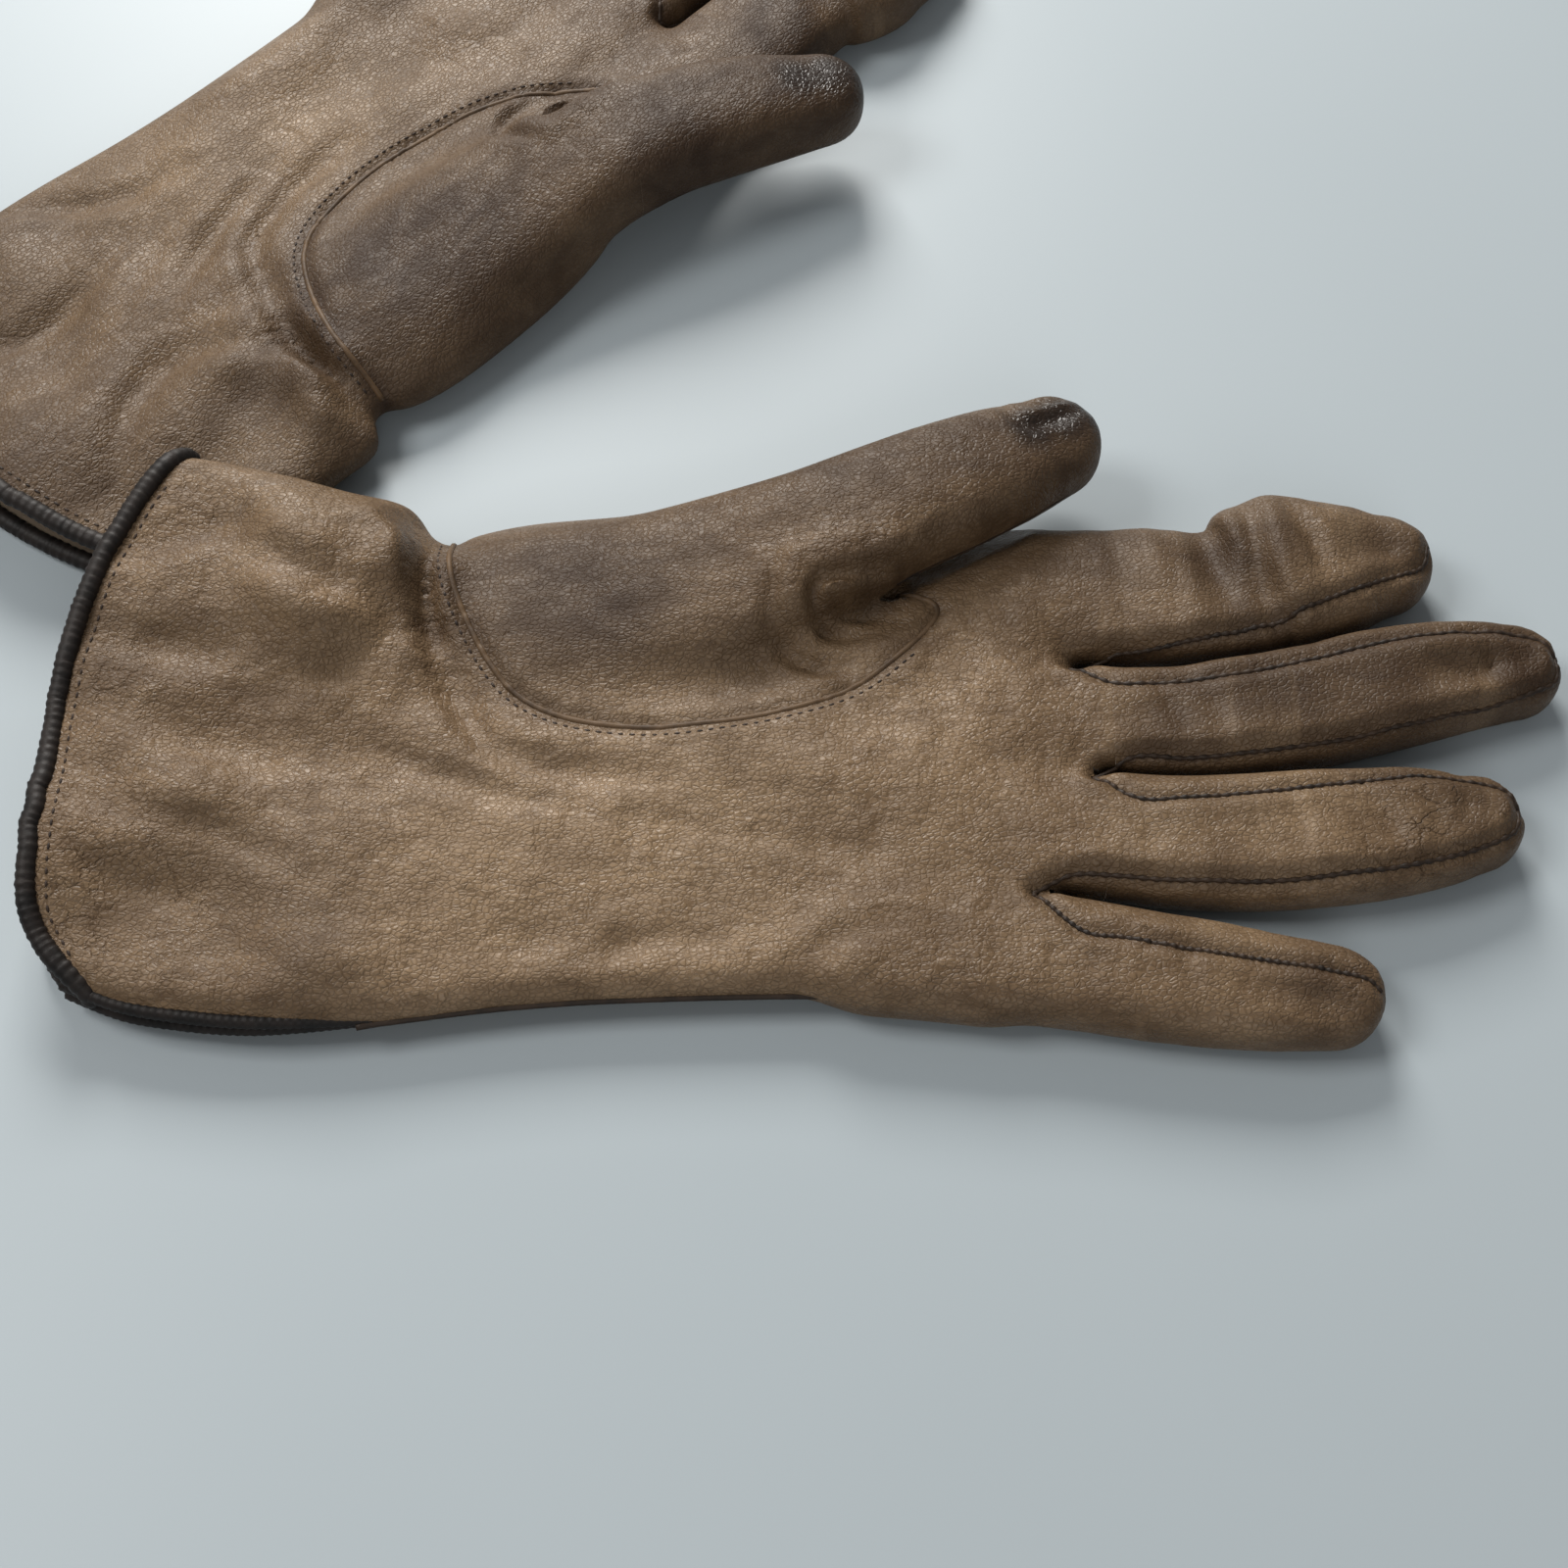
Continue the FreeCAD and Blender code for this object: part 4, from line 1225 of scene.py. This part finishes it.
    def stitch_row(self, name: str, path: np.ndarray, pitch: float, node: str) -> None:
        """Set a row of stitches along a path on the hand."""
        mesh = bpy.data.meshes.new(name)
        mesh.from_pydata([tuple(p) for p in path], [(i, i + 1) for i in range(len(path) - 1)], [])
        mesh.transform(self.matrix)
        piece = put(name, mesh)
        rows = piece.modifiers.new("stitches", "NODES")
        rows.node_group = self.stitches
        values = {"Pitch": pitch * MM, "Long": pitch * STITCH_SHARE * MM,
                  "Thick": THREAD_THICK * MM, "Material": self.finishes["thread"]}
        for item in self.stitches.interface.items_tree:
            if item.in_out == "INPUT" and item.name in values:
                rows[item.identifier] = values[item.name]
        self.settle(piece)
        piece.data.materials.clear()
        piece.data.materials.append(self.finishes["thread"])
        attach(piece, f"{self.side.value}_hand")
        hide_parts(f"{self.side.value}_{node}")

    def make_stitches(self) -> None:
        """Set the rows of stitches beside the thumb's oval and the cuff's binding."""
        side = self.side.value
        rows = curve_through(OVAL, 200)
        ahead = np.gradient(rows, axis=0)
        out = np.stack([ahead[:, 1], -ahead[:, 0]], axis=1)
        out /= np.linalg.norm(out, axis=1)[:, None]
        outer = rows[:, :2] + math.copysign(1.5, -out[100, 1]) * out
        path = self.drape([tuple(p) for p in outer[8:-26:6]], 200, self.surfaces["hand"], 0.05)
        self.stitch_row(f"{side}_oval_stitches", path, OVAL_PITCH, "thumb_stitching")
        ys = np.linspace(-30, 39, 90)
        base = np.full_like(ys, CUFF_END)
        xs = base + self.leather.cuff_curve(base, ys) + CUFF_ROW_INSET
        path = self.drape(list(zip(xs[::6], ys[::6])), 200, self.surfaces["hand"], 0.05)
        self.stitch_row(f"{side}_cuff_stitches", path, CUFF_PITCH, "cuff_stitching")

    def make(self) -> None:
        """Make the whole glove."""
        self.make_leather()
        self.make_binding()
        self.make_seams()
        self.make_stitches()


@dataclass
class Studio:
    """The table, the lights and the camera."""

    origin: Matrix

    def make(self) -> None:
        """Make them all."""
        self.make_table()
        self.make_lights()
        self.make_camera()

    def make_table(self) -> None:
        """Lay a wide smooth pale table top under the gloves."""
        mesh = bpy.data.meshes.new("table_top")
        reach = 3.0
        mesh.from_pydata([(-reach, -reach, 0), (reach, -reach, 0), (reach, reach, 0),
                          (-reach, reach, 0)], [], [(0, 1, 2, 3)])
        tree = Shader("table_top")
        soft = tree.noise(tree.place(), 9.0, 2.0)
        colour = tree.mix(soft, (0.350, 0.396, 0.422, 1.0), (0.374, 0.420, 0.446, 1.0))
        mesh.materials.append(tree.finish({"Specular IOR Level": 0.3},
                                          {"Base Color": colour, "Roughness": 0.42 + 0.05 * soft}))
        table = put("table_top", mesh)

    def make_lights(self) -> None:
        """Hang three broad lamps and a dim even sky."""
        for name, place, size, power, colour in (
                ("window", (-0.14, 0.68, 0.52), 0.36, 10.4, (1.0, 0.975, 0.935)),
                ("ceiling", (-0.55, -0.02, 0.74), 0.36, 4.4, (1.0, 0.99, 0.97)),
                ("front", (0.20, -0.85, 0.55), 0.45, 1.8, (1.0, 0.99, 0.98))):
            data = bpy.data.lights.new(name, "AREA")
            data.size = size
            data.energy = power
            data.color = colour
            lamp = put(name, data)
            lamp.location = place
            lamp.rotation_euler = (-Vector(place)).to_track_quat("-Z", "Y").to_euler()
        world = bpy.data.worlds.new("sky")
        bpy.context.scene.world = world
        world.use_nodes = True
        world.node_tree.nodes["Background"].inputs["Color"].default_value = (0.95, 0.96, 0.97, 1)
        world.node_tree.nodes["Background"].inputs["Strength"].default_value = 0.22

    def make_camera(self) -> None:
        """Set the camera in front of the left glove, looking down at it."""
        data = bpy.data.cameras.new("camera")
        data.sensor_width = 36.0
        data.lens = 50.6
        data.clip_start = 0.01
        camera = put("camera", data)
        height, elevation = 261.0, math.radians(60.0)
        target = self.origin @ Vector((0, 0, 0))
        camera.location = self.origin @ Vector((0, -height / math.tan(elevation), height))
        camera.rotation_euler = (target - camera.location).to_track_quat("-Z", "Y").to_euler()
        bpy.context.scene.camera = camera
        bpy.context.scene.view_settings.view_transform = "Standard"


def drawn_lines(side: Side) -> tuple:
    """Give the folds, creases and seam ridges of one glove's leather."""
    lines = [Line(points, Mark.SEAM, 0.85, 0.8) for row in FINGER_SEAMS.values() for points in row]
    lines.append(Line(OVAL, Mark.SEAM, 0.75, 0.85))
    # each ridge and fold: its points, then its height and half width, mm
    humps = [(((-61, 40), (-55.5, 34), (-53, 26), (-56, 17)), 2.6, 4.2),
             (((-78, 24), (-66, 17), (-55, 13), (-47, 7)), 1.6, 4.6),
             (((-47, -20), (-20, -22), (8, -24)), 0.6, 6.0), (((-14, -2), (10, -4), (28, -6)), 0.5, 6.0),
             (((-30, -2), (-44, 2), (-60, 2)), 0.9, 4.0), (((84, 15), (96, 16)), 0.6, 2.0),
             (((15.0, 28.0), (8.0, 26.4), (1.8, 25.2), (0.6, 20.6), (3.4, 15.8), (9.4, 14.6)), 0.8, 1.3),
             (((70, 36), (80, 35)), 0.7, 3.5), (((60, -33), (70, -34)), 0.4, 2.6)]
    lines += [Line(points, Mark.RIDGE, high, wide) for points, high, wide in humps]
    folds = [
        (((17.0, 25.2), (10.5, 23.2), (5.2, 22.2), (3.9, 19.6), (6.0, 17.0), (10.2, 17.4)), 1.9, 0.8),
        (((13.4, 20.6), (9.4, 20.0), (7.0, 19.4)), 0.9, 0.8),
        (((-0.6, 24.0), (-2.2, 18.4), (1.2, 13.4), (7.4, 11.6), (13.8, 13.6)), 0.9, 1.0),
        (((-49.6, 38.6), (-49.6, 30.6), (-49.2, 22.8), (-47.6, 15.6)), 2.4, 1.6),
        (((-50.6, 24.0), (-55.0, 14.6), (-60.0, 10.0), (-68.0, 8.6)), 1.0, 2.4),
        (((-48.4, 17.0), (-44.6, 8.4), (-39.5, 0.4), (-30.2, -3.6), (-14.9, -5.0)), 1.2, 1.9),
        (((-58.1, 2.1), (-47.6, -4.2), (-36.2, -7.5), (-25.8, -8.8)), 0.7, 1.7),
        (((64.7, 41.5), (65.6, 32.3), (66.4, 23.9), (67.8, 20.0)), 1.5, 1.5),
        (((70.5, 40.0), (73.4, 32.3), (75.0, 25.6)), 0.8, 1.2),
        (((57.5, 38.5), (60.0, 30.0), (62.5, 21.5)), 1.5, 3.2),
        (((80.5, 34.0), (88.5, 30.0), (92.0, 27.0)), 0.8, 2.2),
        (((86.0, 10.6), (93.0, 12.4), (100.0, 13.6)), 0.8, 2.0),
        (((58.0, -32.6), (64.0, -35.4), (71.0, -38.0)), 0.6, 2.2),
        (((50.2, 10.3), (52.5, 4.8), (54.1, 1.5)), 0.5, 1.0),
        (((75.8, -6.3), (79.1, -11.7), (79.7, -16.0)), 0.5, 1.0),
        (((50.5, -28.7), (51.2, -36.7)), 0.5, 1.0),
    ]
    pleats = [(-47.4 - 0.3 * step, 37.0 - 2.3 * step) for step in range(10)]
    folds += [(((x - 3.4, y - 0.6), (x, y), (x + 2.6, y + 0.8)), 0.55, 0.55) for x, y in pleats]
    if side is Side.LEFT:
        folds += [
            (((-53.5, 22.0), (-58.5, 20.0), (-66.0, 22.4), (-73.0, 27.0)), 1.1, 2.2),
            (((-92, 14), (-84, 12.5), (-76, 12), (-66, 14)), 0.8, 2.4),
            (((-93, 4), (-84, 2), (-74, -2), (-62, -3)), 0.8, 2.6),
            (((94.5, 18.4), (96.5, 14.5), (95.0, 11.0)), 0.7, 1.2),
            (((45.5, 38.0), (46.6, 28.0), (47.2, 18.0)), 0.35, 1.1),
            (((53.0, 38.0), (54.2, 28.0), (54.0, 20.0)), 0.45, 1.2),
            (((47.0, -9.0), (47.6, -14.0), (47.0, -18.0)), 0.3, 1.0),
            (((66.0, -7.0), (67.2, -12.0), (66.4, -17.0)), 0.35, 1.0),
            (((83.0, -6.5), (85.4, -11.0), (85.0, -14.5)), 0.45, 0.9),
            (((88.5, -6.0), (89.4, -9.0), (88.0, -12.5)), 0.4, 0.9),
            (((57.0, 9.0), (58.4, 4.0), (58.0, 0.5)), 0.4, 1.0),
            (((-90.1, -10.2), (-81.6, -12.0), (-71.0, -14.6), (-60.3, -20.3)), 0.8, 1.8),
            (((-92.4, -16.0), (-84.0, -21.0), (-75.1, -22.4)), 0.6, 1.5),
            (((-88.0, 26.0), (-80.2, 28.3), (-71.8, 31.0), (-63.0, 31.5)), 0.8, 2.4),
            (((-29.3, -35.4), (-19.8, -28.6), (-12.4, -27.3)), 0.9, 2.0),
            (((-1.2, -34.1), (6.2, -28.6), (12.4, -25.9)), 0.9, 1.8),
            (((-20.5, -10.2), (-5.1, -13.1), (12.7, -16.0)), 0.4, 1.2),
            (((31.0, 51.4), (33.4, 47.6), (38.6, 49.4), (43.0, 53.0)), 0.9, 1.0),
            (((33.4, 52.0), (37.6, 52.4), (42.0, 55.0)), 0.6, 0.8),
        ]
    else:
        folds += [
            (((-56.5, 42.1), (-52.0, 30.6), (-49.7, 14.0)), 1.1, 2.2),
            (((-86, 20), (-72, 10), (-58, 6)), 0.8, 2.4),
            (((-88, -18), (-70, -12), (-52, -16)), 0.8, 2.0),
            (((-60, -36), (-48, -24), (-36, -20)), 0.9, 2.0),
        ]
    lines += [Line(points, Mark.GROOVE, high, wide) for points, high, wide in folds]
    return tuple(lines)


def main() -> None:
    """Make both gloves and the studio."""
    logging.basicConfig(level=logging.INFO)
    edges = {"binding": ("cuff_binding", (0.015, 0.0105, 0.0085, 1), (0.005, 0.0036, 0.003, 1)),
             "seam": ("rolled_seam", (0.036, 0.021, 0.012, 1), (0.013, 0.008, 0.005, 1)),
             "welt": ("gusset_welt", (0.110, 0.066, 0.033, 1), (0.045, 0.026, 0.013, 1)),
             "thread": ("thread", (0.040, 0.025, 0.017, 1), (0.018, 0.011, 0.008, 1))}
    finishes = {"leather": GloveLeather().build(), "inside": FleshSide().build()}
    finishes |= {key: DarkEdge(*edge).build() for key, edge in edges.items()}
    stitches = stitch_tree()
    for side, lift, seed in ((Side.LEFT, 10.0, 11), (Side.RIGHT, 0.0, 47)):
        glove = Glove(side, lift, seed, drawn_lines(side), finishes, stitches)
        glove.make()
        LOG.info("%s glove: %d pieces", side.value, len(glove.pieces))
    Studio(GloveFrame(Side.LEFT).matrix()).make()


if __name__ == "__main__":
    main()
